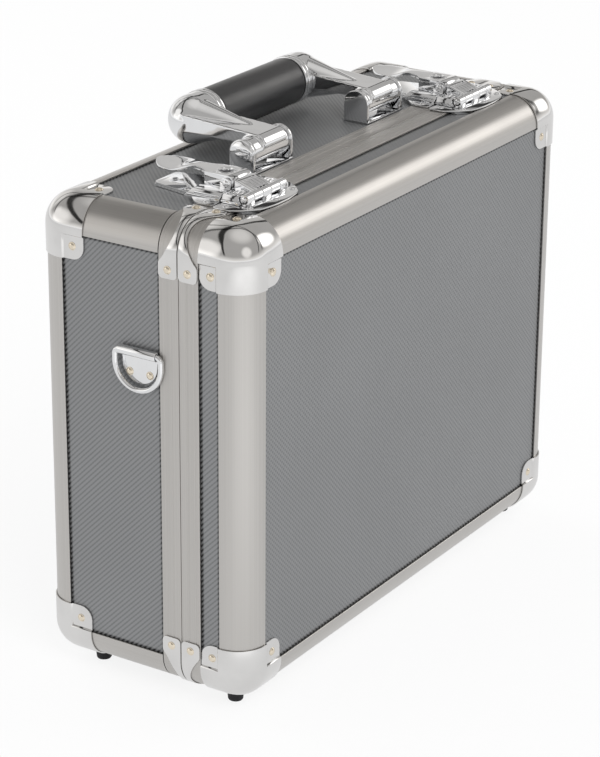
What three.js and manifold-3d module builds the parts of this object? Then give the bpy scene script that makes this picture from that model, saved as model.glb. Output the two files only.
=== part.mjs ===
// Aluminium carrying case with a hinged lid, a folding handle, two lever latches and two D-rings.
// The case stands upright on its four rubber feet. The shallow lid faces -Y and the deep base +Y.
// Millimetres, +Z up. The origin is on the floor, under the middle of the case.

import * as THREE from 'three';
import Module from 'manifold-3d';
import { mergeVertices } from 'three/addons/utils/BufferGeometryUtils.js';
import { RoundedBoxGeometry } from 'three/addons/geometries/RoundedBoxGeometry.js';

const wasm = await Module();
wasm.setup();

// Shell
const shellLength = 417;
const shellThickness = 166;
const shellHeight = 327.5;
const shellBottom = 9.5;
const lidDepth = 52;
const clearance = 0.3;
const overrun = 3;

// Edge profiles and panels
const edgeRadius = 21;
const profileLeg = 22;
const profileWall = 1.8;
const lipWall = 1.2;
const panelThickness = 2;
const panelRecess = 1.5;
const panelSeat = 3;

// Closing frames, where the base and the lid meet
const seamGap = 0.6;
const closingWidth = 15;
const closingWall = 2;
const baseFlange = 10;
const baseInnerWall = 1.6;
const tongueInset = 8;
const tongueWall = 1.6;
const tongueLength = 4;
const lidFlange = 6.4;
const channelOpening = 5.1;
const channelWall = 1.5;
const channelDepth = 6.7;

// Corner caps and rivets
const capLeg = 39.5;
const capWall = 0.8;
const capLift = 0.25;
const capCornerRadius = 9;
const capRivetInset = 9;
const lidCapRivetInset = 8.5;
const rivetRadius = 2.9;
const rivetHeight = 1.4;
const rivetSink = 0.4;
const rivetShoulder = 1.15;
const rivetCrown = 2.1;

// Corner clips on the closing frames
const clipSetIn = 4;
const clipLegSide = 37.5;
const clipWall = 1.05;
const clipSink = 0.5;
const clipInset = 0.3;
const clipBiteRadius = 23;
const clipBiteDepth = 10;
const clipRivetReach = 31.5;

// Rubber feet
const footTopRadius = 6;
const footBottomRadius = 5.2;
const footEdge = 1;
const footHeight = 8.15;
const footFromSide = 24.5;
const footFromBack = 31;
const footFromFront = 25.5;

// D-rings and their plates
const ringHeight = 245;
const ringWire = 3.8;
const ringWidth = 40;
const ringDrop = 28;
const ringPlateGap = 0.7;
const ringPlateWidth = 30;
const ringPlateWaist = 26;
const ringPlateWaistDrop = 9;
const ringPlateDrop = 22;
const ringPlateWall = 1.2;
const ringRollRadius = 3.2;
const ringBore = 2.25;
const ringRivetSpan = 16;
const ringRivetDrop = 15;

// Handle
const bracketLatchGap = 4.5;
const bracketUnderGrip = 1.7;
const bracketSetBack = 2.2;
const bracketFront = 10.5;
const bracketBack = 11;
const bracketWall = 1.7;
const cheekWall = 2.4;
const cheekRadius = 9.75;
const pivotHeight = 12;
const pivotRadius = 2.5;
const barrelRadius = 9;
const barrelGap = 0.6;
const armWidth = 26;
const armInset = 5;
const armOutset = 10.5;
const armUnderside = 2.5;
const armTopAtPivot = 11;
const armTopAtGrip = 14.5;
const gripReach = 59.4;
const gripRise = 7.5;
const gripRadius = 16.6;
const collarRadius = 17.4;
const collarWidth = 7;
const shoulderRadius = 17;
const shoulderInset = 9;
const neckRadius = 4.5;
const neckPlace = 12;
const rodRadius = 6;
const rodGap = 0.5;

// Latches: places are measured back from the seam and up from the top of the shell
const latchClipGap = 1;
const latchPlateGap = 0.6;
const latchPlateWall = 1.2;
const latchHalfWidth = 32.7;
const latchWingBack = 15;
const latchTailHalfWidth = 19.5;
const latchTailBack = 28;
const latchEndHalfWidth = 13.5;
const latchEndBack = 57;
const latchEndRound = 4;
const bodyOuter = 25.6;
const bodyShoulderOuter = 22.8;
const bodyShoulderHeight = 3.6;
const bodyLedge = 6.8;
const cheekInner = 11.2;
const cheekBack = 23;
const cheekSlopeBack = 28;
const earInner = 10.8;
const earWall = 1.8;
const earRadius = 3.4;
const earBack = 9;
const leverPinPlace = 4.7;
const leverPinHeight = 9.8;
const leverPinRadius = 1.5;
const leverNoseRadius = 4.6;
const leverHalfWidth = 10.3;
const leverWall = 1.6;
const leverBack = 22.5;
const neckHalfWidth = 5;
const neckBack = 39;
const neckRise = 1;
const spadeHalfWidth = 13.5;
const spadeBack = 49.5;
const spadeDip = 1.4;
const spadeTip = 72;
const tailWall = 2.4;
const tailOverlap = 4;

// Lock plugs
const lockPlace = 12.4;
const lockHousing = 6.4;
const lockBore = 4.8;
const plugRadius = 4.4;
const plugRecess = 1.3;
const plugLength = 7.6;
const keySlotLength = 5.4;
const keySlotWidth = 1.3;
const keySlotDepth = 3;

// Hasps and their plates on the lid
const haspRidgeHalfWidth = 10.5;
const haspRidgeTop = 12.5;
const haspRidgeFall = 4.3;
const haspFloor = 1.9;
const haspFront = 16;
const haspPinPlace = -16.5;
const haspPinHeight = 5.2;
const haspPinRadius = 1.4;
const haspBarrelRadius = 3.3;
const haspKnuckleInner = 4.9;
const haspKnuckleOuter = 14.8;
const strikeKnuckleOuter = 22.6;
const strikeKnuckleFoot = 1.6;
const strikeHalfWidth = 36;
const strikeWingForward = 13;
const strikeSideStep = 5;
const strikeSideForward = 21;
const strikeLowHalfWidth = 22;
const strikeLowForward = 29;
const strikeForward = 33;

// Butt hinges under the seam
const hingeFromSide = 88.5;
const hingeLength = 66;
const hingeKnuckles = 5;
const hingeKnuckleGap = 0.4;
const hingeAxisHeight = 6.1;
const hingeKnuckleRadius = 2.8;
const hingePinRadius = 1.4;
const hingeLeafWall = 1;
const hingeLeafWidth = 13;
const hingeLeafStart = 3.2;

// Linings
const liningWall = 4;
const baseLiningInset = 10.3;
const lidLiningInset = 13.3;
const liningSetBack = 1.7;
const liningEndInset = 5.3;

// Steps of the round stretches
const arcSteps = 3;
const capSteps = 3;
const rivetSides = 6;
const wireSides = 7;
const wireSteps = 14;
const ringArcSteps = 8;
const biteSides = 8;
const pinSides = 8;
const knuckleSides = 10;
const barrelSides = 12;

// Places worked out from the sizes above
const halfLength = shellLength / 2;
const back = shellThickness / 2;
const front = -back;
const top = shellBottom + shellHeight;
const middle = (shellBottom + top) / 2;
const seam = front + lidDepth;
const baseFace = seam + seamGap / 2;
const lidFace = seam - seamGap / 2;
const baseFrameBack = baseFace + closingWidth;
const lidFrameFront = lidFace - closingWidth;
const panelInset = profileLeg - panelSeat;
const panelInner = panelRecess + panelThickness;
const grooveDepth = panelSeat + clearance;
const grooveInner = panelInner + clearance;
const lipInner = grooveInner + lipWall;
const capOuter = capLift + capWall;
const cornerStart = profileLeg + clearance;
const channelOuter = lidFlange + channelOpening + channelWall;
const lidCapLeg = lidFrameFront - clearance - front;
const clipLegTop = capLeg - clipSetIn;
const latchOffset = halfLength - clipLegTop - latchClipGap - strikeHalfWidth;
const strikeSideHalfWidth = strikeHalfWidth - strikeSideStep;
const hingeOffset = halfLength - hingeFromSide;
const bracketOuter = latchOffset - strikeHalfWidth - bracketLatchGap;
const armOuter = bracketOuter - cheekWall - barrelGap - armOutset;
const armInner = armOuter - armWidth;
const bracketInner = armInner - armInset - barrelGap - cheekWall;
const gripHalfLength = bracketInner + bracketUnderGrip;
const collarStart = gripHalfLength + clearance;
const collarEnd = collarStart + collarWidth;
const shoulderPlace = collarEnd + shoulderInset;
const pivotPlace = baseFrameBack + bracketSetBack + bracketFront;
const ringPlace = baseFrameBack + ringPlateGap + ringPlateWidth / 2;

const aluminium = { color: 0xb3afaa, roughness: 0.36, metalness: 1 };
const embossed = { color: 0x84868a, roughness: 0.5, metalness: 1 };
const chrome = { color: 0xdfe0e1, roughness: 0.12, metalness: 1 };
const rubber = { color: 0x161616, roughness: 0.85, metalness: 0 };
const leatherette = { color: 0x26272a, roughness: 0.42, metalness: 0 };
const cloth = { color: 0x2b2c30, roughness: 0.95, metalness: 0 };
const blackened = { color: 0x1a1a1c, roughness: 0.5, metalness: 0.6 };

function solid(geometry) {
  geometry.deleteAttribute('normal');
  geometry.deleteAttribute('uv');
  const merged = mergeVertices(geometry);
  const vertProperties = new Float32Array(merged.attributes.position.array);
  const triVerts = new Uint32Array(merged.index.array);
  return new wasm.Manifold(new wasm.Mesh({ numProp: 3, vertProperties, triVerts }));
}

function geometryOf(manifold) {
  const mesh = manifold.getMesh();
  const geometry = new THREE.BufferGeometry();
  geometry.setAttribute('position', new THREE.BufferAttribute(new Float32Array(mesh.vertProperties), 3));
  geometry.setIndex(new THREE.BufferAttribute(new Uint32Array(mesh.triVerts), 1));
  geometry.computeVertexNormals();
  return geometry;
}

// A copy mirrored by signs, with its faces turned back outwards where that needs it
function mirrored(geometry, signX, signY, signZ) {
  const copy = geometry.clone().scale(signX, signY, signZ);
  if (signX * signY * signZ < 0) {
    const index = copy.index.array;
    for (let i = 0; i < index.length; i += 3) {
      const second = index[i + 1];
      index[i + 1] = index[i + 2];
      index[i + 2] = second;
    }
  }
  copy.computeVertexNormals();
  return copy;
}

function addPiece(parent, name, geometry, finish) {
  const mesh = new THREE.Mesh(geometry, new THREE.MeshStandardMaterial(finish));
  mesh.name = name;
  parent.add(mesh);
  return mesh;
}

function outline(points) {
  return new THREE.Shape(points.map(([a, b]) => new THREE.Vector2(a, b)));
}

// Outlines are drawn in YZ, XZ or XY and pushed along the third axis
function extruded(shape, low, high) {
  return new THREE.ExtrudeGeometry(shape, { depth: high - low, bevelEnabled: false, curveSegments: arcSteps });
}

function pushX(shape, low, high) {
  const turn = new THREE.Matrix4().makeBasis(
    new THREE.Vector3(0, 1, 0),
    new THREE.Vector3(0, 0, 1),
    new THREE.Vector3(1, 0, 0),
  );
  return solid(extruded(shape, low, high).applyMatrix4(turn).translate(low, 0, 0));
}

function pushY(shape, low, high) {
  return solid(extruded(shape, low, high).rotateX(Math.PI / 2).translate(0, high, 0));
}

function pushZ(shape, low, high) {
  return solid(extruded(shape, low, high).translate(0, 0, low));
}

function block(xLow, xHigh, yLow, yHigh, zLow, zHigh) {
  const geometry = new THREE.BoxGeometry(xHigh - xLow, yHigh - yLow, zHigh - zLow);
  return solid(geometry.translate((xLow + xHigh) / 2, (yLow + yHigh) / 2, (zLow + zHigh) / 2));
}

function rodX(radius, xLow, xHigh, y, z, sides) {
  const geometry = new THREE.CylinderGeometry(radius, radius, xHigh - xLow, sides);
  return solid(geometry.rotateZ(Math.PI / 2).translate((xLow + xHigh) / 2, y, z));
}

function rodZ(radius, zLow, zHigh, x, y, sides) {
  const geometry = new THREE.CylinderGeometry(radius, radius, zHigh - zLow, sides);
  return solid(geometry.rotateX(Math.PI / 2).translate(x, y, (zLow + zHigh) / 2));
}

// Domed rivet head that stands on z = 0 before its turn, sunk a little into what carries it
function rivet(x, y, z, turnX, turnY) {
  const profile = [
    [0, -rivetSink],
    [rivetRadius, -rivetSink],
    [rivetRadius, rivetHeight - rivetShoulder],
    [rivetCrown, rivetHeight - rivetSink],
    [0, rivetHeight],
  ];
  const head = new THREE.LatheGeometry(profile.map(([a, b]) => new THREE.Vector2(a, b)), rivetSides);
  return solid(head.rotateX(Math.PI / 2).rotateX(turnX).rotateY(turnY).translate(x, y, z));
}

// Rounded rectangle in XZ at an inset from the shell's outline
function shellOutline(path, inset) {
  const radius = edgeRadius - inset;
  const right = halfLength - edgeRadius;
  const low = shellBottom + edgeRadius;
  const high = top - edgeRadius;
  path.absarc(right, high, radius, 0, Math.PI / 2, false);
  path.absarc(-right, high, radius, Math.PI / 2, Math.PI, false);
  path.absarc(-right, low, radius, Math.PI, Math.PI * 3 / 2, false);
  path.absarc(right, low, radius, Math.PI * 3 / 2, Math.PI * 2, false);
  return path;
}

function ring(outerInset, innerInset, yLow, yHigh) {
  const shape = shellOutline(new THREE.Shape(), outerInset);
  shape.holes.push(shellOutline(new THREE.Path(), innerInset));
  return pushY(shape, yLow, yHigh);
}

// Quarter-round edge extrusion with a groove in each leg for a panel's edge.
// Its outer corner is at (a, b) and its legs run towards smaller a and b.
function profileShape(a, b) {
  const innerRadius = edgeRadius - profileWall;
  const web = profileLeg - grooveDepth - lipWall;
  const start = Math.asin((edgeRadius - web) / innerRadius);
  const centreA = a - edgeRadius;
  const centreB = b - edgeRadius;
  const shape = new THREE.Shape();
  shape.moveTo(a, b - profileLeg);
  shape.absarc(centreA, centreB, edgeRadius, 0, Math.PI / 2, false);
  shape.lineTo(a - profileLeg, b);
  shape.lineTo(a - profileLeg, b - lipWall);
  shape.lineTo(a - profileLeg + grooveDepth, b - lipWall);
  shape.lineTo(a - profileLeg + grooveDepth, b - grooveInner);
  shape.lineTo(a - profileLeg, b - grooveInner);
  shape.lineTo(a - profileLeg, b - lipInner);
  shape.lineTo(a - web, b - lipInner);
  shape.absarc(centreA, centreB, innerRadius, Math.PI / 2 - start, start, true);
  shape.lineTo(a - lipInner, b - web);
  shape.lineTo(a - lipInner, b - profileLeg);
  shape.lineTo(a - grooveInner, b - profileLeg);
  shape.lineTo(a - grooveInner, b - profileLeg + grooveDepth);
  shape.lineTo(a - lipWall, b - profileLeg + grooveDepth);
  shape.lineTo(a - lipWall, b - profileLeg);
  return shape;
}

// Corner cap pressed from sheet, drawn at the origin with legs along +X, +Y and +Z.
// Its tabs are pressed down on to the panels, but the face that carries a foot stays flat.
function cornerCap(legY, rivetY, hasFoot) {
  const size = capLeg * 3;
  const skin = (offset) => {
    const box = new RoundedBoxGeometry(size, size, size, capSteps, edgeRadius + offset);
    const shift = size / 2 - offset;
    return solid(box.translate(shift, shift, shift));
  };
  const faces = [
    { legs: [capLeg, legY], rivets: [capLeg - capRivetInset, rivetY], turn: (a, b, w) => [a, b, w], push: pushZ },
    {
      legs: [capLeg, capLeg],
      rivets: [capLeg - capRivetInset, capLeg - capRivetInset],
      turn: (a, b, w) => [a, w, b],
      push: pushY,
    },
    { legs: [legY, capLeg], rivets: [rivetY, capLeg - capRivetInset], turn: (a, b, w) => [w, a, b], push: pushX },
  ];
  const rivetTurns = [[Math.PI, 0], [Math.PI / 2, 0], [0, -Math.PI / 2]];
  const tabInner = panelRecess - clearance;
  const tabOuter = tabInner - capWall;
  const pressed = (turn, a, b, start, wLow, wHigh) => {
    const low = turn(start, start, wLow);
    const high = turn(a, b, wHigh);
    return block(low[0], high[0], low[1], high[1], low[2], high[2]);
  };
  let cap = skin(capOuter).subtract(skin(capLift));
  faces.forEach(({ legs, turn }, face) => {
    if (hasFoot && face === 0) {
      return;
    }
    const wall = pressed(turn, legs[0], legs[1], cornerStart, -capOuter, tabInner);
    const pocket = pressed(turn, size, size, cornerStart + capWall, -capOuter - overrun, tabOuter);
    cap = cap.add(wall).subtract(pocket);
  });
  faces.forEach(({ legs, push }) => {
    const [a, b] = legs;
    const trim = new THREE.Shape();
    trim.moveTo(-capOuter - overrun, -capOuter - overrun);
    trim.lineTo(a, -capOuter - overrun);
    trim.absarc(a - capCornerRadius, b - capCornerRadius, capCornerRadius, 0, Math.PI / 2, false);
    trim.lineTo(-capOuter - overrun, b);
    cap = cap.intersect(push(trim, -capOuter - overrun, size));
  });
  faces.forEach(({ rivets, turn }, face) => {
    if (hasFoot && face === 0) {
      return;
    }
    const [x, y, z] = turn(rivets[0], rivets[1], tabOuter);
    cap = cap.add(rivet(x, y, z, rivetTurns[face][0], rivetTurns[face][1]));
  });
  return geometryOf(cap);
}

// Clip round one bend of a closing frame, with a round bite on its panel side.
// It is drawn for the +X, top corner, with z from the middle of the shell.
function cornerClip(yLow, yHigh, panelEdge, panelSide) {
  const corner = block(
    halfLength - clipLegTop,
    halfLength + overrun,
    yLow - overrun,
    yHigh + overrun,
    top - clipLegSide,
    top + overrun,
  );
  const bite = new THREE.CylinderGeometry(clipBiteRadius, clipBiteRadius, clipBiteRadius * 3, biteSides);
  bite.rotateX(Math.PI / 2).rotateY(Math.PI / 4);
  bite.translate(halfLength, panelEdge + panelSide * (clipBiteRadius - clipBiteDepth), top);
  const centre = (yLow + yHigh) / 2;
  const clip = ring(-clipWall, clipSink, yLow, yHigh)
    .intersect(corner)
    .subtract(solid(bite))
    .add(rivet(halfLength - clipRivetReach, centre, top + clipWall, 0, 0))
    .add(rivet(halfLength + clipWall, centre, top - clipRivetReach, 0, Math.PI / 2));
  return geometryOf(clip).translate(0, 0, -middle);
}

function withClips(frame, yLow, yHigh, panelEdge, panelSide) {
  const clip = cornerClip(yLow, yHigh, panelEdge, panelSide);
  let joined = frame;
  for (const signX of [-1, 1]) {
    for (const signZ of [-1, 1]) {
      joined = joined.add(solid(mirrored(clip, signX, 1, signZ).translate(0, 0, middle)));
    }
  }
  return joined;
}

function baseClosingFrame() {
  const frame = ring(0, closingWall, baseFace, baseFrameBack)
    .add(ring(0, lipInner, baseFrameBack - grooveDepth - lipWall, baseFrameBack))
    .subtract(ring(lipWall, grooveInner, baseFrameBack - grooveDepth, baseFrameBack + overrun))
    .add(ring(0, baseFlange, baseFace, baseFace + closingWall))
    .add(ring(baseFlange - baseInnerWall, baseFlange, baseFace, baseFace + baseFlange))
    .add(ring(tongueInset, tongueInset + tongueWall, baseFace - tongueLength, baseFace + closingWall));
  const high = baseFrameBack - clipInset;
  return geometryOf(withClips(frame, baseFace + clipInset, high, high, 1));
}

function lidClosingFrame() {
  const channelBottom = lidFace - channelDepth;
  const frame = ring(0, closingWall, lidFrameFront, lidFace)
    .add(ring(0, lipInner, lidFrameFront, lidFrameFront + grooveDepth + lipWall))
    .subtract(ring(lipWall, grooveInner, lidFrameFront - overrun, lidFrameFront + grooveDepth))
    .add(ring(0, lidFlange, lidFace - closingWall, lidFace))
    .add(ring(lidFlange - channelWall, channelOuter, channelBottom, lidFace))
    .subtract(ring(lidFlange, channelOuter - channelWall, channelBottom + channelWall, lidFace + overrun));
  const low = lidFrameFront + clipInset;
  return geometryOf(withClips(frame, low, lidFace - clipInset, low, -1));
}

// Tray of foam and cloth, open at its face end
function liningTray(inset, faceEnd, closedEnd) {
  const inward = Math.sign(faceEnd - closedEnd);
  const floorEnd = closedEnd + inward * liningWall;
  const floor = pushY(
    shellOutline(new THREE.Shape(), inset),
    Math.min(closedEnd, floorEnd),
    Math.max(closedEnd, floorEnd),
  );
  const wall = ring(inset, inset + liningWall, Math.min(faceEnd, closedEnd), Math.max(faceEnd, closedEnd));
  return geometryOf(wall.add(floor));
}

function foot() {
  const profile = [
    [0, 0],
    [footBottomRadius - footEdge, 0],
    [footBottomRadius, footEdge],
    [footTopRadius, footHeight],
    [0, footHeight],
  ];
  const turned = new THREE.LatheGeometry(profile.map(([a, b]) => new THREE.Vector2(a, b)), pinSides);
  return geometryOf(solid(turned.rotateX(Math.PI / 2)));
}

// Plate with a roll that holds a D-ring: x = 0 is its back, z = 0 the axis of the roll
function ringPlate() {
  const half = ringPlateWidth / 2;
  const waist = ringPlateWaist / 2;
  const shape = new THREE.Shape();
  shape.moveTo(half, 0);
  shape.lineTo(-half, 0);
  shape.lineTo(-waist, -ringPlateWaistDrop);
  shape.quadraticCurveTo(-waist, -ringPlateDrop, 0, -ringPlateDrop);
  shape.quadraticCurveTo(waist, -ringPlateDrop, waist, -ringPlateWaistDrop);
  const roll = new THREE.CylinderGeometry(ringRollRadius, ringRollRadius, ringPlateWidth, knuckleSides);
  const bore = new THREE.CylinderGeometry(ringBore, ringBore, ringPlateWidth + overrun, knuckleSides);
  let plate = pushX(shape, 0, ringPlateWall)
    .add(solid(roll.translate(ringRollRadius, 0, 0)))
    .subtract(solid(bore.translate(ringRollRadius, 0, 0)));
  for (const side of [-1, 1]) {
    plate = plate.add(rivet(ringPlateWall, side * ringRivetSpan / 2, -ringRivetDrop, 0, Math.PI / 2));
  }
  return geometryOf(plate);
}

// D-ring wire in the YZ plane, hanging from its straight bar on the Y axis
function ringWireLoop() {
  const radius = ringWire / 2;
  const half = ringWidth / 2 - radius;
  const low = radius - ringDrop;
  const points = [new THREE.Vector3(0, -half, 0)];
  for (let step = 0; step <= ringArcSteps; step += 1) {
    const angle = Math.PI * (1 + step / ringArcSteps);
    points.push(new THREE.Vector3(0, half * Math.cos(angle), low + half + half * Math.sin(angle)));
  }
  points.push(new THREE.Vector3(0, half, 0));
  const path = new THREE.CatmullRomCurve3(points);
  const section = [];
  for (let side = 0; side < wireSides; side += 1) {
    const angle = Math.PI * 2 * side / wireSides;
    section.push([radius * Math.cos(angle), radius * Math.sin(angle)]);
  }
  const loop = new THREE.ExtrudeGeometry(outline(section), { steps: wireSteps, extrudePath: path });
  const bar = new THREE.CylinderGeometry(radius, radius, half * 2 + radius, wireSides);
  return geometryOf(solid(loop).add(solid(bar)));
}

// Handle bracket and arm for the +X side, with the origin on the pivot
function handleBracket() {
  const panel = -pivotHeight - panelRecess + clearance;
  const plate = block(bracketInner, bracketOuter, -bracketFront, bracketBack, panel, panel + bracketWall);
  const side = new THREE.Shape();
  side.moveTo(-cheekRadius, panel);
  side.lineTo(cheekRadius, panel);
  side.absarc(0, 0, cheekRadius, 0, Math.PI, false);
  return geometryOf(
    plate
      .add(pushX(side, bracketInner, bracketInner + cheekWall))
      .add(pushX(side, bracketOuter - cheekWall, bracketOuter))
      .add(rodX(pivotRadius, bracketInner + cheekWall / 2, bracketOuter - cheekWall / 2, 0, 0, barrelSides)),
  );
}

function handleArm() {
  const barrelLow = bracketInner + cheekWall + barrelGap;
  const barrelHigh = bracketOuter - cheekWall - barrelGap;
  const band = new THREE.Shape();
  band.moveTo(0, armUnderside);
  band.lineTo(gripReach, armUnderside);
  band.lineTo(gripReach, armTopAtGrip);
  band.lineTo(0, armTopAtPivot);
  band.absarc(0, 0, armTopAtPivot, Math.PI / 2, Math.PI, false);
  const turned = [
    [0, rodGap],
    [rodRadius, rodGap],
    [rodRadius, collarStart],
    [collarRadius, collarStart],
    [collarRadius, collarEnd],
    [shoulderRadius, collarEnd],
  ];
  for (let step = 0; step < arcSteps; step += 1) {
    const angle = Math.PI / 2 * step / arcSteps;
    turned.push([shoulderRadius * Math.cos(angle), shoulderPlace + shoulderRadius * Math.sin(angle)]);
  }
  turned.push([0, shoulderPlace + shoulderRadius]);
  const shoulder = new THREE.LatheGeometry(turned.map(([a, b]) => new THREE.Vector2(a, b)), barrelSides);
  shoulder.rotateZ(-Math.PI / 2).translate(0, gripReach, gripRise);
  const neck = new THREE.CylinderGeometry(shoulderRadius, neckRadius, gripReach - neckPlace, barrelSides);
  neck.translate(shoulderPlace, (gripReach + neckPlace) / 2, gripRise);
  const beyondCollar = block(
    collarEnd,
    shoulderPlace + shoulderRadius,
    0,
    gripReach,
    gripRise - shoulderRadius,
    gripRise + shoulderRadius,
  );
  return geometryOf(
    rodX(barrelRadius, barrelLow, barrelHigh, 0, 0, barrelSides)
      .add(pushX(band, armInner, armOuter))
      .add(solid(neck).intersect(beyondCollar))
      .add(solid(shoulder))
      .subtract(rodX(pivotRadius + clearance, barrelLow - overrun, barrelHigh + overrun, 0, 0, barrelSides)),
  );
}

function handleGrip() {
  const grip = rodX(gripRadius, -gripHalfLength, gripHalfLength, gripReach, gripRise, barrelSides);
  const bore = rodX(
    rodRadius + clearance,
    -gripHalfLength - overrun,
    gripHalfLength + overrun,
    gripReach,
    gripRise,
    barrelSides,
  );
  return geometryOf(grip.subtract(bore));
}

// Half of the stepped section that a latch and its hasp share, from an inner to the outer edge
function steppedSection(inner, low) {
  return outline([
    [inner, low],
    [bodyOuter, low],
    [bodyOuter, bodyShoulderHeight],
    [bodyShoulderOuter, bodyLedge],
    [inner, bodyLedge],
  ]);
}

function mirroredSolid(manifold) {
  return manifold.add(solid(mirrored(geometryOf(manifold), -1, 1, 1)));
}

// Latch pieces share a frame: x from the latch's middle, y back from the seam, z up from the shell
function latchBase() {
  const plateTop = clearance + latchPlateWall;
  const panel = clearance - panelRecess;
  const frameBack = baseFrameBack - seam + clearance;
  const wide = latchHalfWidth + overrun;
  const plan = new THREE.Shape();
  plan.moveTo(latchHalfWidth, latchPlateGap);
  plan.lineTo(latchHalfWidth, latchWingBack);
  plan.lineTo(latchTailHalfWidth, latchTailBack);
  plan.lineTo(latchEndHalfWidth, latchEndBack);
  plan.quadraticCurveTo(latchEndHalfWidth, latchEndBack + latchEndRound, 0, latchEndBack + latchEndRound);
  plan.quadraticCurveTo(-latchEndHalfWidth, latchEndBack + latchEndRound, -latchEndHalfWidth, latchEndBack);
  plan.lineTo(-latchTailHalfWidth, latchTailBack);
  plan.lineTo(-latchHalfWidth, latchWingBack);
  plan.lineTo(-latchHalfWidth, latchPlateGap);
  const overFrame = block(-wide, wide, 0, frameBack, panel - overrun, clearance);
  const slope = outline([
    [latchPlateGap, panel],
    [cheekSlopeBack, panel],
    [cheekSlopeBack, plateTop],
    [cheekBack, bodyLedge],
    [latchPlateGap, bodyLedge],
  ]);
  const ear = new THREE.Shape();
  ear.moveTo(latchPlateGap + clearance, clearance);
  ear.lineTo(earBack, clearance);
  ear.lineTo(earBack, bodyLedge);
  ear.absarc(leverPinPlace, leverPinHeight, earRadius, 0, Math.PI, false);
  const cheek = pushY(steppedSection(cheekInner, clearance), latchPlateGap, cheekSlopeBack)
    .intersect(pushX(slope, 0, latchHalfWidth))
    .add(pushX(ear, earInner, earInner + earWall));
  const pinEnd = earInner + earWall / 2;
  return geometryOf(
    pushZ(plan, panel, plateTop)
      .subtract(overFrame)
      .add(mirroredSolid(cheek))
      .add(rodX(leverPinRadius, -pinEnd, pinEnd, leverPinPlace, leverPinHeight, pinSides)),
  );
}

function latchLever() {
  const leverTop = leverPinHeight + leverNoseRadius;
  const leverLow = leverPinHeight - leverNoseRadius;
  const body = new THREE.Shape();
  body.moveTo(leverBack, leverLow);
  body.lineTo(leverBack, leverTop);
  body.absarc(leverPinPlace, leverPinHeight, leverNoseRadius, Math.PI / 2, Math.PI * 3 / 2, false);
  const pocket = block(
    leverWall - leverHalfWidth,
    leverHalfWidth - leverWall,
    leverPinPlace + leverNoseRadius,
    leverBack - leverWall,
    leverLow - overrun,
    leverTop - leverWall,
  );
  const tailStart = leverBack - tailOverlap;
  const neckTop = leverTop + neckRise;
  const spadeTop = leverTop - spadeDip;
  const dip = (neckBack + spadeBack) / 2;
  const scoop = (spadeBack + spadeTip) / 2;
  const side = new THREE.Shape();
  side.moveTo(tailStart, leverTop - tailWall);
  side.lineTo(neckBack, neckTop - tailWall);
  side.lineTo(spadeBack, spadeTop - tailWall);
  side.lineTo(spadeTip, leverTop - tailWall);
  side.lineTo(spadeTip, leverTop);
  side.quadraticCurveTo(scoop, spadeTop - neckRise, spadeBack, spadeTop);
  side.quadraticCurveTo(dip, neckTop, neckBack, neckTop);
  side.quadraticCurveTo(leverBack, neckTop, tailStart, leverTop);
  const plan = new THREE.Shape();
  plan.moveTo(-leverHalfWidth, tailStart);
  plan.lineTo(leverHalfWidth, tailStart);
  plan.lineTo(leverHalfWidth, leverBack);
  plan.quadraticCurveTo(neckHalfWidth, leverBack, neckHalfWidth, neckBack);
  plan.quadraticCurveTo(neckHalfWidth, spadeBack, spadeHalfWidth, spadeBack);
  plan.quadraticCurveTo(spadeHalfWidth, spadeTip, 0, spadeTip);
  plan.quadraticCurveTo(-spadeHalfWidth, spadeTip, -spadeHalfWidth, spadeBack);
  plan.quadraticCurveTo(-neckHalfWidth, spadeBack, -neckHalfWidth, neckBack);
  plan.quadraticCurveTo(-neckHalfWidth, leverBack, -leverHalfWidth, leverBack);
  const tail = pushX(side, -spadeHalfWidth, spadeHalfWidth).intersect(pushZ(plan, 0, neckTop + overrun));
  const pinBore = rodX(
    leverPinRadius + clearance,
    -leverHalfWidth - overrun,
    leverHalfWidth + overrun,
    leverPinPlace,
    leverPinHeight,
    pinSides,
  );
  return geometryOf(
    pushX(body, -leverHalfWidth, leverHalfWidth)
      .subtract(pocket)
      .add(tail)
      .add(rodZ(lockHousing, leverLow, leverTop - leverWall / 2, 0, lockPlace, barrelSides))
      .subtract(rodZ(lockBore, leverLow - overrun, leverTop + overrun, 0, lockPlace, barrelSides))
      .subtract(pinBore),
  );
}

function lockPlug() {
  const plugTop = leverPinHeight + leverNoseRadius - plugRecess;
  const slot = block(
    -keySlotWidth / 2,
    keySlotWidth / 2,
    lockPlace - keySlotLength / 2,
    lockPlace + keySlotLength / 2,
    plugTop - keySlotDepth,
    plugTop + overrun,
  );
  return geometryOf(rodZ(plugRadius, plugTop - plugLength, plugTop, 0, lockPlace, barrelSides).subtract(slot));
}

// Rod on the hasp's pin
function haspRod(radius, xLow, xHigh) {
  return rodX(radius, xLow, xHigh, haspPinPlace, haspPinHeight, knuckleSides);
}

function hasp() {
  const ridge = outline([
    [-haspFront, haspFloor],
    [-latchPlateGap, haspFloor],
    [-latchPlateGap, haspRidgeTop],
    [-haspFront, haspRidgeTop - haspRidgeFall],
  ]);
  const notchRadius = haspBarrelRadius + clearance * 2;
  const side = pushY(steppedSection(0, haspFloor), -haspFront, -latchPlateGap)
    .subtract(haspRod(notchRadius, haspKnuckleOuter, bodyOuter + overrun))
    .add(haspRod(haspBarrelRadius, haspKnuckleInner, haspKnuckleOuter));
  return geometryOf(
    mirroredSolid(side)
      .add(pushX(ridge, -haspRidgeHalfWidth, haspRidgeHalfWidth))
      .subtract(haspRod(notchRadius, -haspKnuckleInner, haspKnuckleInner))
      .subtract(haspRod(haspPinRadius + clearance, -bodyOuter, bodyOuter)),
  );
}

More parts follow.
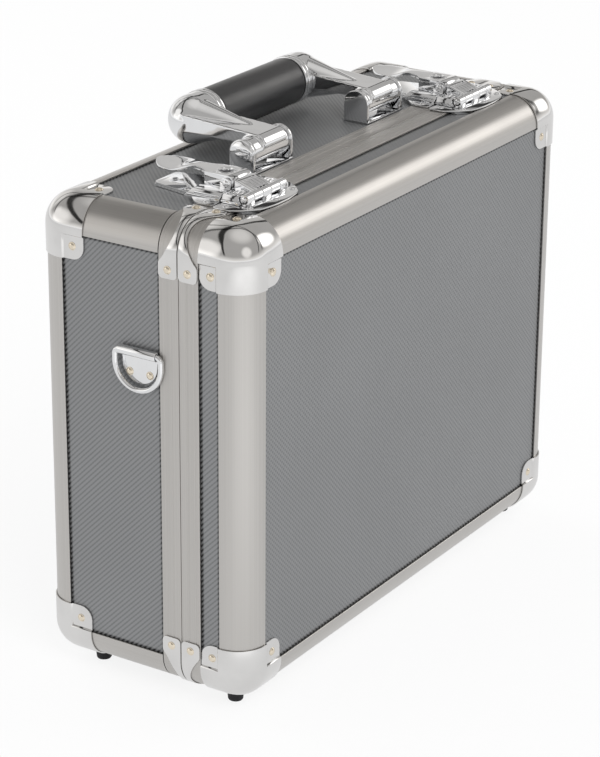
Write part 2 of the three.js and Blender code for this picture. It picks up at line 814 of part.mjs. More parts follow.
function strikePlate() {
  const plateTop = clearance + latchPlateWall;
  const panel = clearance - panelRecess;
  const frameFront = lidFrameFront - clearance - seam;
  const profileBack = front + profileLeg + clearance - seam;
  const wide = strikeHalfWidth + overrun;
  const plan = new THREE.Shape();
  plan.moveTo(strikeHalfWidth, -latchPlateGap);
  plan.lineTo(-strikeHalfWidth, -latchPlateGap);
  plan.lineTo(-strikeHalfWidth, -strikeWingForward);
  plan.lineTo(-strikeSideHalfWidth, -strikeSideForward);
  plan.lineTo(-strikeLowHalfWidth, -strikeLowForward);
  plan.quadraticCurveTo(0, -strikeForward - latchEndRound, strikeLowHalfWidth, -strikeLowForward);
  plan.lineTo(strikeSideHalfWidth, -strikeSideForward);
  plan.lineTo(strikeHalfWidth, -strikeWingForward);
  const overFrame = block(-wide, wide, frameFront, 0, panel - overrun, clearance);
  const overProfile = block(-wide, wide, -strikeForward - overrun, profileBack, panel - overrun, clearance);
  const knuckle = (xLow, xHigh) => haspRod(haspBarrelRadius, xLow, xHigh).add(block(
    xLow,
    xHigh,
    haspPinPlace - strikeKnuckleFoot,
    haspPinPlace + strikeKnuckleFoot,
    clearance,
    haspPinHeight,
  ));
  const middleEnd = haspKnuckleInner - clearance;
  const sideStart = haspKnuckleOuter + clearance;
  return geometryOf(
    pushZ(plan, panel, plateTop)
      .subtract(overFrame)
      .subtract(overProfile)
      .add(knuckle(-middleEnd, middleEnd))
      .add(mirroredSolid(knuckle(sideStart, strikeKnuckleOuter)))
      .add(haspRod(haspPinRadius, -sideStart - overrun, sideStart + overrun)),
  );
}

// Leaf of a butt hinge: x from its middle, y away from the seam, z up from the pin.
// The base's leaf has the odd knuckles and the pin, the lid's leaf the even ones.
function hingeLeaf(firstKnuckle, side) {
  const knuckleLength = (hingeLength - hingeKnuckleGap * (hingeKnuckles - 1)) / hingeKnuckles;
  const leafTop = shellBottom - clearance - hingeAxisHeight;
  const leafLow = leafTop - hingeLeafWall;
  const half = hingeLength / 2;
  const across = (yNear, yFar, xLow, xHigh, zLow) => block(
    xLow,
    xHigh,
    Math.min(side * yNear, side * yFar),
    Math.max(side * yNear, side * yFar),
    zLow,
    leafTop,
  );
  let leaf = across(hingeLeafStart, hingeLeafWidth, -half, half, leafLow);
  for (let knuckle = firstKnuckle; knuckle < hingeKnuckles; knuckle += 2) {
    const xLow = knuckle * (knuckleLength + hingeKnuckleGap) - half;
    const xHigh = xLow + knuckleLength;
    leaf = leaf
      .add(rodX(hingeKnuckleRadius, xLow, xHigh, 0, 0, pinSides))
      .add(across(0, hingeLeafStart + hingeLeafWall, xLow, xHigh, leafLow - clearance));
  }
  if (firstKnuckle === 0) {
    return geometryOf(leaf.add(rodX(hingePinRadius, -half + overrun, half - overrun, 0, 0, pinSides)));
  }
  return geometryOf(leaf.subtract(rodX(hingePinRadius + clearance, -half, half, 0, 0, pinSides)));
}

const group = new THREE.Group();
const base = new THREE.Group();
const lid = new THREE.Group();
group.add(base, lid);
const levels = [['bottom', -1], ['top', 1]];
const sides = [['left', -1], ['right', 1]];

// Panels
const panelX = halfLength - panelInset;
const panelLow = shellBottom + panelInset;
const panelHigh = top - panelInset;
const sideFront = baseFrameBack - panelSeat;
const sideBack = back - panelInset;
const lowOuter = shellBottom + panelRecess;
const lowInner = shellBottom + panelInner;
const backPanel = block(-panelX, panelX, back - panelInner, back - panelRecess, panelLow, panelHigh);
const frontPanel = block(-panelX, panelX, front + panelRecess, front + panelInner, panelLow, panelHigh);
const topPanel = block(-panelX, panelX, sideFront, sideBack, top - panelInner, top - panelRecess);
const bottomPanel = block(-panelX, panelX, sideFront, sideBack, lowOuter, lowInner);
const rightPanel = geometryOf(block(
  halfLength - panelInner,
  halfLength - panelRecess,
  sideFront,
  sideBack,
  panelLow,
  panelHigh,
));
addPiece(base, 'base_back_panel', geometryOf(backPanel), embossed);
addPiece(base, 'base_top_panel', geometryOf(topPanel), embossed);
addPiece(base, 'base_bottom_panel', geometryOf(bottomPanel), embossed);
for (const [side, signX] of sides) {
  addPiece(base, `base_${side}_panel`, mirrored(rightPanel, signX, 1, 1), embossed);
}
addPiece(lid, 'lid_front_panel', geometryOf(frontPanel), embossed);
const sideBand = ring(panelRecess, panelInner, front + panelInset, lidFrameFront + panelSeat);
addPiece(lid, 'lid_side_band', geometryOf(sideBand), embossed);

// Edge profiles
const profileX = halfLength - cornerStart;
const profileLow = shellBottom + cornerStart;
const profileHigh = top - cornerStart;
const profileFront = baseFrameBack + clearance;
const profileBack = back - cornerStart;
const alongX = geometryOf(pushX(profileShape(back, top), -profileX, profileX)).translate(0, 0, -middle);
const alongY = geometryOf(pushY(profileShape(halfLength, top), profileFront, profileBack)).translate(0, 0, -middle);
const alongZ = geometryOf(pushZ(profileShape(halfLength, back), profileLow, profileHigh));
for (const [level, signZ] of levels) {
  const backEdge = mirrored(alongX, 1, 1, signZ).translate(0, 0, middle);
  const frontEdge = mirrored(alongX, 1, -1, signZ).translate(0, 0, middle);
  addPiece(base, `base_back_${level}_profile`, backEdge, aluminium);
  addPiece(lid, `lid_front_${level}_profile`, frontEdge, aluminium);
  for (const [side, signX] of sides) {
    const sideEdge = mirrored(alongY, signX, 1, signZ).translate(0, 0, middle);
    addPiece(base, `base_${side}_${level}_profile`, sideEdge, aluminium);
  }
}
for (const [side, signX] of sides) {
  addPiece(base, `base_back_${side}_profile`, mirrored(alongZ, signX, 1, 1), aluminium);
  addPiece(lid, `lid_front_${side}_profile`, mirrored(alongZ, signX, -1, 1), aluminium);
}

// Closing frames and linings
addPiece(base, 'base_closing_frame', baseClosingFrame(), aluminium);
addPiece(lid, 'lid_closing_frame', lidClosingFrame(), aluminium);
const baseTray = liningTray(baseLiningInset, baseFace + liningSetBack, back - liningEndInset);
const lidTray = liningTray(lidLiningInset, lidFace - liningSetBack, front + liningEndInset);
addPiece(base, 'base_lining', baseTray, cloth);
addPiece(lid, 'lid_lining', lidTray, cloth);

// Corner caps and feet
for (const [level, signZ] of levels) {
  const hasFoot = signZ < 0;
  const baseCap = cornerCap(capLeg, capLeg - capRivetInset, hasFoot);
  const lidCap = cornerCap(lidCapLeg, lidCapLeg - lidCapRivetInset, hasFoot);
  const z = hasFoot ? shellBottom : top;
  for (const [side, signX] of sides) {
    const inBase = addPiece(base, `base_${side}_${level}_cap`, mirrored(baseCap, -signX, -1, -signZ), chrome);
    const inLid = addPiece(lid, `lid_${side}_${level}_cap`, mirrored(lidCap, -signX, 1, -signZ), chrome);
    inBase.position.set(signX * halfLength, back, z);
    inLid.position.set(signX * halfLength, front, z);
  }
}
for (const [side, signX] of sides) {
  const x = signX * (halfLength - footFromSide);
  addPiece(base, `base_${side}_foot`, foot(), rubber).position.set(x, back - footFromBack, 0);
  addPiece(lid, `lid_${side}_foot`, foot(), rubber).position.set(x, front + footFromFront, 0);
}

// D-rings
const ringPlateBack = halfLength - panelRecess + clearance;
for (const [side, signX] of sides) {
  const plate = addPiece(base, `ring_plate_${side}`, mirrored(ringPlate(), signX, 1, 1), chrome);
  const wire = addPiece(group, `ring_${side}`, ringWireLoop(), chrome);
  plate.position.set(signX * ringPlateBack, ringPlace, ringHeight);
  wire.position.set(signX * (ringPlateBack + ringRollRadius), ringPlace, ringHeight);
}

// Handle
const handle = new THREE.Group();
handle.position.set(0, pivotPlace, top + pivotHeight);
group.add(handle);
for (const [side, signX] of sides) {
  const bracket = addPiece(base, `handle_bracket_${side}`, mirrored(handleBracket(), signX, 1, 1), chrome);
  bracket.position.copy(handle.position);
  addPiece(handle, `handle_arm_${side}`, mirrored(handleArm(), signX, 1, 1), chrome);
}
addPiece(handle, 'handle_grip', handleGrip(), leatherette);

// Latches, with their hasps on the lid
for (const [side, signX] of sides) {
  const latch = new THREE.Group();
  latch.position.set(signX * latchOffset, seam, top);
  addPiece(latch, `latch_base_${side}`, latchBase(), chrome);
  addPiece(latch, `latch_lever_${side}`, latchLever(), chrome);
  addPiece(latch, `lock_plug_${side}`, lockPlug(), blackened);
  addPiece(latch, `lid_latch_plate_${side}`, strikePlate(), chrome);
  addPiece(latch, `hasp_${side}`, hasp(), chrome);
  group.add(latch);
}

// Hinges
for (const [side, signX] of sides) {
  const hinge = new THREE.Group();
  hinge.position.set(signX * hingeOffset, seam, hingeAxisHeight);
  addPiece(hinge, `hinge_base_leaf_${side}`, hingeLeaf(0, 1), aluminium);
  addPiece(hinge, `hinge_lid_leaf_${side}`, hingeLeaf(1, -1), aluminium);
  group.add(hinge);
}

export default group;
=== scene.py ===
# Aluminium carrying case: embossed panels in rounded edge profiles, chromed corners and latches,
# a folding handle with a leatherette grip, and two D-rings. The case is drawn in millimetres, +Z up,
# and each mesh is brought to metres when its piece is finished. The studio is drawn in metres.
import math

import bmesh
import bpy
from mathutils import Matrix, Vector


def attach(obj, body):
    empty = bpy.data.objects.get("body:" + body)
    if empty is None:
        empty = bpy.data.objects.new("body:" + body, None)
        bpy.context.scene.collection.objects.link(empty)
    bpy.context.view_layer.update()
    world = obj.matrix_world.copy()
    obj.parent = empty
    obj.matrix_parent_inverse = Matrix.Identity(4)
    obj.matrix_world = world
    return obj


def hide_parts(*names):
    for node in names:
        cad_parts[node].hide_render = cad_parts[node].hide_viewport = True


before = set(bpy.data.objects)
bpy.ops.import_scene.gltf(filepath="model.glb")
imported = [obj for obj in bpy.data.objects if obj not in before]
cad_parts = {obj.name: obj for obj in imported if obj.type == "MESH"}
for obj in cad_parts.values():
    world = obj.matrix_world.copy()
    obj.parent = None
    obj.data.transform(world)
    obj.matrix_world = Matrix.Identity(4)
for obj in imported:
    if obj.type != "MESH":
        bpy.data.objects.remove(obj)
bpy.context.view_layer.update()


# The camera, fitted to the straight edges of the case in the photograph. Its place is in metres,
# and its back and right are the directions that the fit gave.
CAMERA_PLACE = Vector((-1.5306, -0.9685, 0.8793))
CAMERA_BACK = Vector((-0.782463, -0.500676, 0.370236))
CAMERA_RIGHT = Vector((0.541296, -0.840804, 0.006952))
camera_data = bpy.data.cameras.new("camera")
camera_data.lens = 130.0
camera_data.sensor_width = 36.0
camera_data.clip_start = 0.05
camera = bpy.data.objects.new("camera", camera_data)
camera_axes = Matrix((CAMERA_RIGHT, CAMERA_BACK.cross(CAMERA_RIGHT), CAMERA_BACK)).transposed()
camera.matrix_world = Matrix.Translation(CAMERA_PLACE) @ camera_axes.to_4x4()
bpy.context.scene.collection.objects.link(camera)
bpy.context.scene.camera = camera


# The studio: a pale floor, a white surround, and a soft grey ceiling that only gloss sees, with
# bright panels in it that give polished metal its light and dark bands. The floor keeps the
# shadow and lets the rest of the surround through, so a lid that is opened below it stays in sight.
WHITE = (1, 1, 1, 1)
FLOOR_SIZE = 12.0
FLOOR_COLOUR = (0.93, 0.93, 0.93, 1)
FLOOR_PASSING = 0.86
GLOSS_GLOW = 0.86
GLOSS_DIM = 0.20
CARD_PLACE = (-0.55, -0.65, 0.0)
CARD_LIGHT = 0.32
SURROUND_LIGHT = 0.6


class Wave:
    """One socket of a node tree. Sums on it add the nodes of the shader's maths."""

    def __init__(self, tree, socket):
        self.tree = tree
        self.socket = socket

    def make(self, kind, settings=None, inputs=None, output=0):
        node = self.tree.nodes.new(kind)
        for name, value in (settings or {}).items():
            setattr(node, name, value)
        for name, value in (inputs or {}).items():
            if isinstance(value, Wave):
                self.tree.links.new(value.socket, node.inputs[name])
            else:
                node.inputs[name].default_value = value
        return Wave(self.tree, node.outputs[output])

    def math(self, operation, *others):
        values = dict(enumerate((self,) + others))
        return self.make("ShaderNodeMath", {"operation": operation}, values)

    def __add__(self, other):
        return self.math("ADD", other)

    def __sub__(self, other):
        return self.math("SUBTRACT", other)

    def __rsub__(self, other):
        return (self * -1.0) + other

    def __mul__(self, other):
        return self.math("MULTIPLY", other)

    __radd__ = __add__
    __rmul__ = __mul__

    def ramp(self, low, high):
        limits = {"From Min": low, "From Max": high, "Value": self}
        return self.make("ShaderNodeMapRange", {"interpolation_type": "SMOOTHSTEP"}, limits)

    def blend(self, first, second):
        values = {0: self, 6: first, 7: second}
        return self.make("ShaderNodeMix", {"data_type": "RGBA"}, values, 2)

    def part(self, axis):
        """One of the three numbers of a place or a direction."""
        return self.make("ShaderNodeSeparateXYZ", inputs={0: self}, output=axis)

    def stretched(self, scale):
        return self.make("ShaderNodeMapping", inputs={"Vector": self, "Scale": scale})

    def noise(self, scale, detail):
        inputs = {"Vector": self, "Scale": scale, "Detail": detail}
        return self.make("ShaderNodeTexNoise", inputs=inputs)

    def bump(self, strength, distance):
        inputs = {"Strength": strength, "Distance": distance, "Height": self}
        return self.make("ShaderNodeBump", inputs=inputs)


def linked(form, name):
    """An object of the form, linked to the scene. The form is used up."""
    mesh = bpy.data.meshes.new(name)
    form.to_mesh(mesh)
    form.free()
    made = bpy.data.objects.new(name, mesh)
    bpy.context.scene.collection.objects.link(made)
    return made


def parted(form, point, outward, clear=True):
    """Parts the whole form along a plane, and clears what lies beyond it."""
    whole = form.verts[:] + form.edges[:] + form.faces[:]
    bmesh.ops.bisect_plane(form, geom=whole, plane_co=point, plane_no=outward, clear_outer=clear)


def stage_material(name):
    """A material without a shader of its own, with its node tree and its place."""
    material = bpy.data.materials.new(name)
    material.use_nodes = True
    tree = material.node_tree
    tree.nodes.remove(tree.nodes["Principled BSDF"])
    return material, tree, Wave(tree, tree.nodes.new("ShaderNodeTexCoord").outputs["Object"])


def rays(tree, *kinds):
    """A mask for each kind of ray."""
    path = tree.nodes.new("ShaderNodeLightPath")
    return [Wave(tree, path.outputs[f"Is {kind} Ray"]) for kind in kinds]


floor_form = bmesh.new()
bmesh.ops.create_grid(floor_form, x_segments=2, y_segments=2, size=FLOOR_SIZE)
floor = linked(floor_form, "floor")
pale, pale_tree, ground = stage_material("pale_floor")
in_view, in_gloss, in_glass, in_shadow = rays(pale_tree, "Camera", "Glossy", "Transmission", "Shadow")
below = in_view.make("ShaderNodeNewGeometry", output="Backfacing")
seen = in_view.math("MAXIMUM", in_glass)
matt = seen.make("ShaderNodeBsdfDiffuse", inputs={"Color": FLOOR_COLOUR})
# Seen in reflections, the floor glows dimmer, with a painted pool of light round CARD_PLACE.
away = ground.make("ShaderNodeVectorMath", {"operation": "DISTANCE"}, {0: ground, 1: CARD_PLACE}, 1)
floor_light_pool = (1.0 - away.ramp(0.15, 0.75)) * CARD_LIGHT
strength = in_gloss * (floor_light_pool - GLOSS_DIM) + 1.0
glow = seen.make("ShaderNodeEmission", inputs={"Color": WHITE, "Strength": strength})
clear = seen.make("ShaderNodeBsdfTransparent", inputs={"Color": WHITE})
lit = seen.make("ShaderNodeMixShader", inputs={0: in_gloss * GLOSS_GLOW, 1: matt, 2: glow})
passing = (seen * FLOOR_PASSING).math("MAXIMUM", in_shadow).math("MAXIMUM", in_gloss * below)
both = seen.make("ShaderNodeMixShader", inputs={0: passing, 1: lit, 2: clear})
pale_tree.links.new(both.socket, pale_tree.nodes["Material Output"].inputs["Surface"])
floor.data.materials.append(pale)

world = bpy.data.worlds.new("surround")
bpy.context.scene.world = world
world.use_nodes = True
world_tree = world.node_tree
in_view, in_gloss, in_glass = rays(world_tree, "Camera", "Glossy", "Transmission")
seen = in_view.math("MAXIMUM", in_gloss).math("MAXIMUM", in_glass)
strength = seen * (1 - SURROUND_LIGHT) + SURROUND_LIGHT
world_tree.links.new(strength.socket, world_tree.nodes["Background"].inputs["Strength"])
world_tree.nodes["Background"].inputs["Color"].default_value = WHITE

CEILING_RADIUS = 7.0
CEILING_EDGE = 0.6
CEILING_GREY = 0.44
HORIZON_GLOW = 0.5
CEILING_TINT = (1.0, 0.98, 0.955, 1)
# Each bright panel has the direction that it lies in, the cosines of its edge and its core, and
# its light. Each dark strip has the direction across it, its core and its edge, and its depth.
PANELS = (
    ((0.782, -0.445, 0.435), 0.958, 0.996, 1.75),
    ((-0.60, 0.72, 0.35), 0.90, 0.98, 0.60),
    ((-0.35, -0.80, 0.48), 0.94, 0.99, 0.50),
    ((0.30, 0.85, 0.43), 0.90, 0.98, 0.40),
    ((0.10, -0.10, 1.0), 0.80, 1.0, 0.30),
    ((0.78, 0.50, 0.37), 0.93, 0.99, 0.13),
)
STRIPS = (
    ((0.0, 0.842, -0.54), 0.030, 0.070, 0.92),
    ((0.80, 0.10, -0.60), 0.012, 0.036, 0.85),
    ((-0.75, -0.45, 0.49), 0.025, 0.060, 0.70),
)
ceiling_form = bmesh.new()
bmesh.ops.create_uvsphere(ceiling_form, u_segments=48, v_segments=24, radius=CEILING_RADIUS)
parted(ceiling_form, (0, 0, CEILING_EDGE), (0, 0, -1))
ceiling = linked(ceiling_form, "ceiling")
for ray in ("camera", "diffuse", "transmission", "volume_scatter", "shadow"):
    setattr(ceiling, "visible_" + ray, False)
dim, dim_tree, spot = stage_material("ceiling_glow")
heading = spot.make("ShaderNodeVectorMath", {"operation": "NORMALIZE"}, {0: spot})


def facing(toward):
    """How nearly a point of the ceiling lies in a direction."""
    values = {0: heading, 1: Vector(toward).normalized()}
    return spot.make("ShaderNodeVectorMath", {"operation": "DOT_PRODUCT"}, values, 1)


height = heading.part(2)
light = (1.0 - height.ramp(0.05, 0.32)) * HORIZON_GLOW + CEILING_GREY
for toward, edge, core, level in PANELS:
    light = light + facing(toward).ramp(edge, core) * level
for across, core, edge, depth in STRIPS:
    shadow = 1.0 - facing(across).math("ABSOLUTE").ramp(core, edge)
    light = light * (1.0 - shadow * height.ramp(0.22, 0.38) * depth)
shine = spot.make("ShaderNodeEmission", inputs={"Color": CEILING_TINT, "Strength": light})
dim_tree.links.new(shine.socket, dim_tree.nodes["Material Output"].inputs["Surface"])
ceiling.data.materials.append(dim)

LAMP_TARGET = Vector((0, 0, 0.17))
LAMPS = (
    ("key_lamp", (-1.45, -2.3, 2.5), 1.8, 57.0),
    ("fill_lamp", (2.6, -1.4, 1.8), 2.2, 24.0),
    ("rear_lamp", (0.4, 2.6, 2.2), 2.2, 26.0),
)
for name, place, width, power in LAMPS:
    lamp_data = bpy.data.lights.new(name, "AREA")
    lamp_data.size = width
    lamp_data.energy = power
    lamp = bpy.data.objects.new(name, lamp_data)
    lamp.location = place
    lamp.rotation_mode = "QUATERNION"
    lamp.rotation_quaternion = (Vector(place) - LAMP_TARGET).to_track_quat("Z", "Y")
    lamp.visible_camera = False
    lamp.visible_glossy = False
    bpy.context.scene.collection.objects.link(lamp)
bpy.context.scene.view_settings.view_transform = "Standard"


# The panels are aluminium sheet, anodised grey and rolled with two slanting sets of ribs that
# cross as diamonds. Their edges lie in the grooves of the profiles. The CAD sheets keep their shape.
# The shell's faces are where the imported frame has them.
HALF_LENGTH = 208.5
FRONT = -83.0
BACK = 83.0
BOTTOM = 9.5
TOP = 337.0
SEAM = -31.0
LEG = 22.0
FRAME_EDGE = 15.3
RIB_PITCH = 2.6
DIAGONAL = 1.414
RIB_CREST = (0.303, 0.308, 0.314, 1)
RIB_GROOVE_SHADE = (0.228, 0.233, 0.240, 1)


def new_finish(name, **constants):
    """A material with its own shader, whose constants are set on the shader's sockets."""
    finish = bpy.data.materials.new(name)
    finish.use_nodes = True
    shader = finish.node_tree.nodes["Principled BSDF"]
    for socket, value in constants.items():
        shader.inputs[socket.replace("_", " ")].default_value = value
    place = finish.node_tree.nodes.new("ShaderNodeTexCoord")
    return finish, shader, Wave(finish.node_tree, place.outputs["Object"])


def feed(shader, **waves):
    for socket, wave in waves.items():
        wave.tree.links.new(wave.socket, shader.inputs[socket.replace("_", " ")])


def ribs_along(run):
    """A wave between 0 and 1 with one crest for each rib."""
    return (run * (2 * math.pi / (RIB_PITCH * DIAGONAL))).math("SINE") * 0.5 + 0.5


def embossed(name, fields, lean=1.0, cross_share=0.5):
    """The sheet's finish. Each field gives an axis and the limits that the sheet shows between."""
    finish, shader, place = new_finish(name, Metallic=0.75)
    split = [place.part(axis) * 1000 for axis in range(3)]
    if len(fields) == 1:
        side = place.make("ShaderNodeNewGeometry", output=1).part(0).math("ABSOLUTE").ramp(0.6, 0.8)
        u = split[1] * -1.0
        v = split[2] * side + split[0] * (1.0 - side)
    else:
        u = split[fields[0][0]]
        v = split[fields[1][0]]
    rib = ribs_along(v - u * lean)
    cross = ribs_along(v + u * lean)
    height = rib * (1.0 - cross_share) + cross * cross_share
    # The grooves are coloured darker than the crests: painted shade in the rib hollows.
    shade = height.ramp(0.10, 0.56)
    # Near the edges that go under the profiles' lips the colour is darkened, most in the grooves: a painted
    # shadow of the lips, in a dotted line. The noise below adds random tone.
    inside = None
    for axis, low, high in fields:
        reach = (split[axis] - (low + high) / 2).math("ABSOLUTE") * -1.0 + (high - low) / 2
        inside = reach if inside is None else inside.math("MINIMUM", reach)
    painted_lip_band = 1.0 - inside.ramp(0.9, 2.5)
    painted_lip_shade = 1.0 - painted_lip_band * (0.95 - rib * 0.55)
    value = (place.noise(9.0, 3.0) * 0.16 + 0.92) * painted_lip_shade
    colours = {"Value": value, "Color": shade.blend(RIB_GROOVE_SHADE, RIB_CREST)}
    mottle_and_lip_shade = place.make("ShaderNodeHueSaturation", inputs=colours)
    feed(shader, Base_Color=mottle_and_lip_shade, Normal=height.bump(0.34, 0.0004), Roughness=shade * -0.1 + 0.54)
    return finish


across = (0, -HALF_LENGTH + LEG, HALF_LENGTH - LEG)
upright = (2, BOTTOM + LEG, TOP - LEG)
base_depth = (1, SEAM + FRAME_EDGE, BACK - LEG)
lid_depth = (1, FRONT + LEG, SEAM - FRAME_EDGE)
front_sheet = embossed("front_back_sheet", (across, upright), lean=-1.0)
top_sheet = embossed("top_bottom_sheet", (across, base_depth))
side_sheet = embossed("side_sheet", (base_depth, upright), lean=-1.0, cross_share=0.15)
band_sheet = embossed("lid_band_sheet", (lid_depth,), cross_share=0.15)
for finish, *nodes in (
    (front_sheet, "base_back_panel", "lid_front_panel"),
    (top_sheet, "base_top_panel", "base_bottom_panel"),
    (side_sheet, "base_left_panel", "base_right_panel"),
    (band_sheet, "lid_side_band"),
):
    for node in nodes:
        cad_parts[node].material_slots[0].material = finish


# The edge profiles are aluminium extrusions with a large quarter round and, at the end of each
# leg, a lip that holds the sheet in its groove. They are satin anodised, a warm light grey.
EDGE_RADIUS = 21.0
LIP = 1.2
GROOVE_INNER = 3.8
GROOVE_END = 18.7
LIP_INNER = 5.0
CORNER_START = 22.3
FRAME_CLEAR = 15.6
ROUND_STEPS = 20
FINE = 1300.0
LONG = 1.2
SIDES = (("left", -1), ("right", 1))
LEVELS = (("bottom", -1, BOTTOM), ("top", 1, TOP))
ENDS = (("base_back", BACK, 1), ("lid_front", FRONT, -1))
leg_outline = (
    (21.8, 0), (LEG, 0.2), (LEG, LIP), (GROOVE_END, LIP), (GROOVE_END, GROOVE_INNER),
    (LEG, GROOVE_INNER), (LEG, LIP_INNER), (10.4, LIP_INNER),
)
other_leg = tuple((v, u) for u, v in reversed(leg_outline))
profile_outline = ((0, 0),) + leg_outline + ((7.4, 7.4),) + other_leg


def anodised(name, stretch, rough=0.27):
    """Satin aluminium, with fine drawing lines along the axis that is stretched least."""
    finish, shader, place = new_finish(name, Metallic=1.0)
    lines = place.stretched(stretch).noise(1.0, 2.0)
    colour = lines.ramp(0.25, 0.75).blend((0.553, 0.538, 0.517, 1), (0.590, 0.573, 0.553, 1))
    haze = place.noise(14.0, 2.0) * 0.08 + rough
    feed(shader, Base_Color=colour, Roughness=haze, Normal=lines.bump(0.025, 0.0002))
    return finish


def verts_of(made):
    return [g for g in made if isinstance(g, bmesh.types.BMVert)]


def section_face(form, points, place):
    """One face of a few points, each put in space by place(a, b)."""
    return form.faces.new([form.verts.new(place(a, b)) for a, b in points])


def pushed(points, low, high):
    """A flat outline pushed up from low to high."""
    form = bmesh.new()
    face = section_face(form, points, lambda a, b: (a, b, low))
    made = bmesh.ops.extrude_face_region(form, geom=[face])["geom"]
    bmesh.ops.translate(form, vec=(0, 0, high - low), verts=verts_of(made))
    return form


def laid(form, place):
    """Puts every point of a form in space by place(a, b, c), with the faces outwards."""
    for vert in form.verts:
        vert.co = place(*vert.co)
    bmesh.ops.recalc_face_normals(form, faces=form.faces)
    return form


def bevelled(form, geom, width, steps, affect="EDGES", clamp=True):
    bmesh.ops.bevel(
        form, geom=geom, offset=width, offset_type="OFFSET", segments=steps, profile=0.5,
        affect=affect, material=-1, clamp_overlap=clamp,
    )


def put(form, x=0, y=0, z=0, flip=(1, 1, 1)):
    """Mirrors a form by signs, keeps its faces outwards, and moves it."""
    bmesh.ops.scale(form, vec=flip, verts=form.verts)
    if flip[0] * flip[1] * flip[2] < 0:
        bmesh.ops.reverse_faces(form, faces=form.faces)
    bmesh.ops.translate(form, vec=(x, y, z), verts=form.verts)
    return form


def finished(form, name, finish, body, slot, *nodes, crease=34.0):
    """Makes a piece of the form, in metres, hangs it under its body and hides the CAD parts it replaces."""
    if form.calc_volume(signed=True) < 0:
        bmesh.ops.reverse_faces(form, faces=form.faces)
    bmesh.ops.scale(form, vec=(0.001, 0.001, 0.001), verts=form.verts)
    made = linked(form, name)
    made.data.shade_smooth()
    made.data.set_sharp_from_angle(angle=math.radians(crease))
    made.data.materials.append(finish)
    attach(made, body)
    if nodes:
        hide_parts(*nodes)
    return made


def edge_profile(name, axis, start, end, place):
    """The extrusion between two places on its axis. place(u, v, w) has u and v from its outer faces."""
    form = pushed(profile_outline, start, end)
    outer = [e for e in form.edges if all(v.co.x < 0.01 and v.co.y < 0.01 for v in e.verts)]
    bevelled(form, outer, EDGE_RADIUS, ROUND_STEPS, clamp=False)
    body = name.split("_")[0]
    finished(laid(form, place), name + "_extrusion", profile_finish[axis], body, "profile", name)


profile_finish = (
    anodised("profile_along_x", (LONG, FINE, FINE)),
    anodised("profile_along_y", (FINE, LONG, FINE)),
    anodised("profile_along_z", (FINE, FINE, LONG)),
)
for level, z_sign, z in LEVELS:
    for part, face_y, y_sign in ENDS:
        edge_profile(
            f"{part}_{level}_profile", 0, -HALF_LENGTH + CORNER_START, HALF_LENGTH - CORNER_START,
            lambda u, v, w: (w, face_y - y_sign * u, z - z_sign * v),
        )
    for side, x_sign in SIDES:
        edge_profile(
            f"base_{side}_{level}_profile", 1, SEAM + FRAME_CLEAR, BACK - CORNER_START,
            lambda u, v, w: (x_sign * (HALF_LENGTH - u), w, z - z_sign * v),
        )
for side, x_sign in SIDES:
    for part, face_y, y_sign in ENDS:
        edge_profile(
            f"{part}_{side}_profile", 2, BOTTOM + CORNER_START, TOP - CORNER_START,
            lambda u, v, w: (x_sign * (HALF_LENGTH - u), face_y - y_sign * v, w),
        )


# The two closing frames are extrusions bent round the opening. The base's has a tongue that goes
# into the lid's channel. Their edge at the seam is eased, and two shallow lines run along the outside.
MIDDLE = (BOTTOM + TOP) / 2
CLOSING = 15.0
HALF_SEAM = 0.12
BEND_STEPS = 16
LINE = 0.13
BEND_X = HALF_LENGTH - EDGE_RADIUS
BEND_Z = TOP - EDGE_RADIUS
base_face = SEAM + HALF_SEAM
lid_face = SEAM - HALF_SEAM
outer_section = (
    (0, 0.5), (0.15, 0.15), (0.5, 0), (5.6, 0), (5.75, LINE), (6.05, LINE), (6.2, 0), (11.2, 0),
    (11.35, LINE), (11.65, LINE), (11.8, 0), (14.8, 0), (CLOSING, 0.2), (CLOSING, LIP), (11.7, LIP),
    (11.7, GROOVE_INNER), (CLOSING, GROOVE_INNER), (CLOSING, LIP_INNER), (10.5, LIP_INNER), (10.5, 2),
    (2, 2),
)
tongue = (
    (2, 8.4), (10, 8.4), (10, 10), (0, 10), (0, 9.6), (-3.6, 9.6), (-4, 9.2), (-4, 8.4), (-3.6, 8),
    (0, 8),
)
channel = ((2, 4.9), (6.7, 4.9), (6.7, 13), (0, 13), (0, 11.5), (5.2, 11.5), (5.2, 6.4), (0, 6.4))


def edges_of(made):
    return [g for g in made if isinstance(g, bmesh.types.BMEdge)]


def pulled(form, row, step):
    """Extrudes a row of edges by a step, and gives the new row."""
    made = bmesh.ops.extrude_edge_only(form, edges=row)["geom"]
    verts = verts_of(made)
    bmesh.ops.translate(form, vec=step, verts=verts)
    return [e for e in edges_of(made) if set(e.verts) <= set(verts)]


def bent(form, row, centre, axis, degrees, steps):
    """Sweeps a row of edges round a centre, and gives the last row."""
    angle = math.radians(degrees)
    made = bmesh.ops.spin(form, geom=row, cent=centre, axis=axis, angle=angle, steps=steps)
    return edges_of(made["geom_last"])


def closed_up(form, reach=0.001):
    """Merges the points that meet, and turns the faces outwards."""
    bmesh.ops.remove_doubles(form, verts=form.verts, dist=reach)
    bmesh.ops.recalc_face_normals(form, faces=form.faces)
    return form


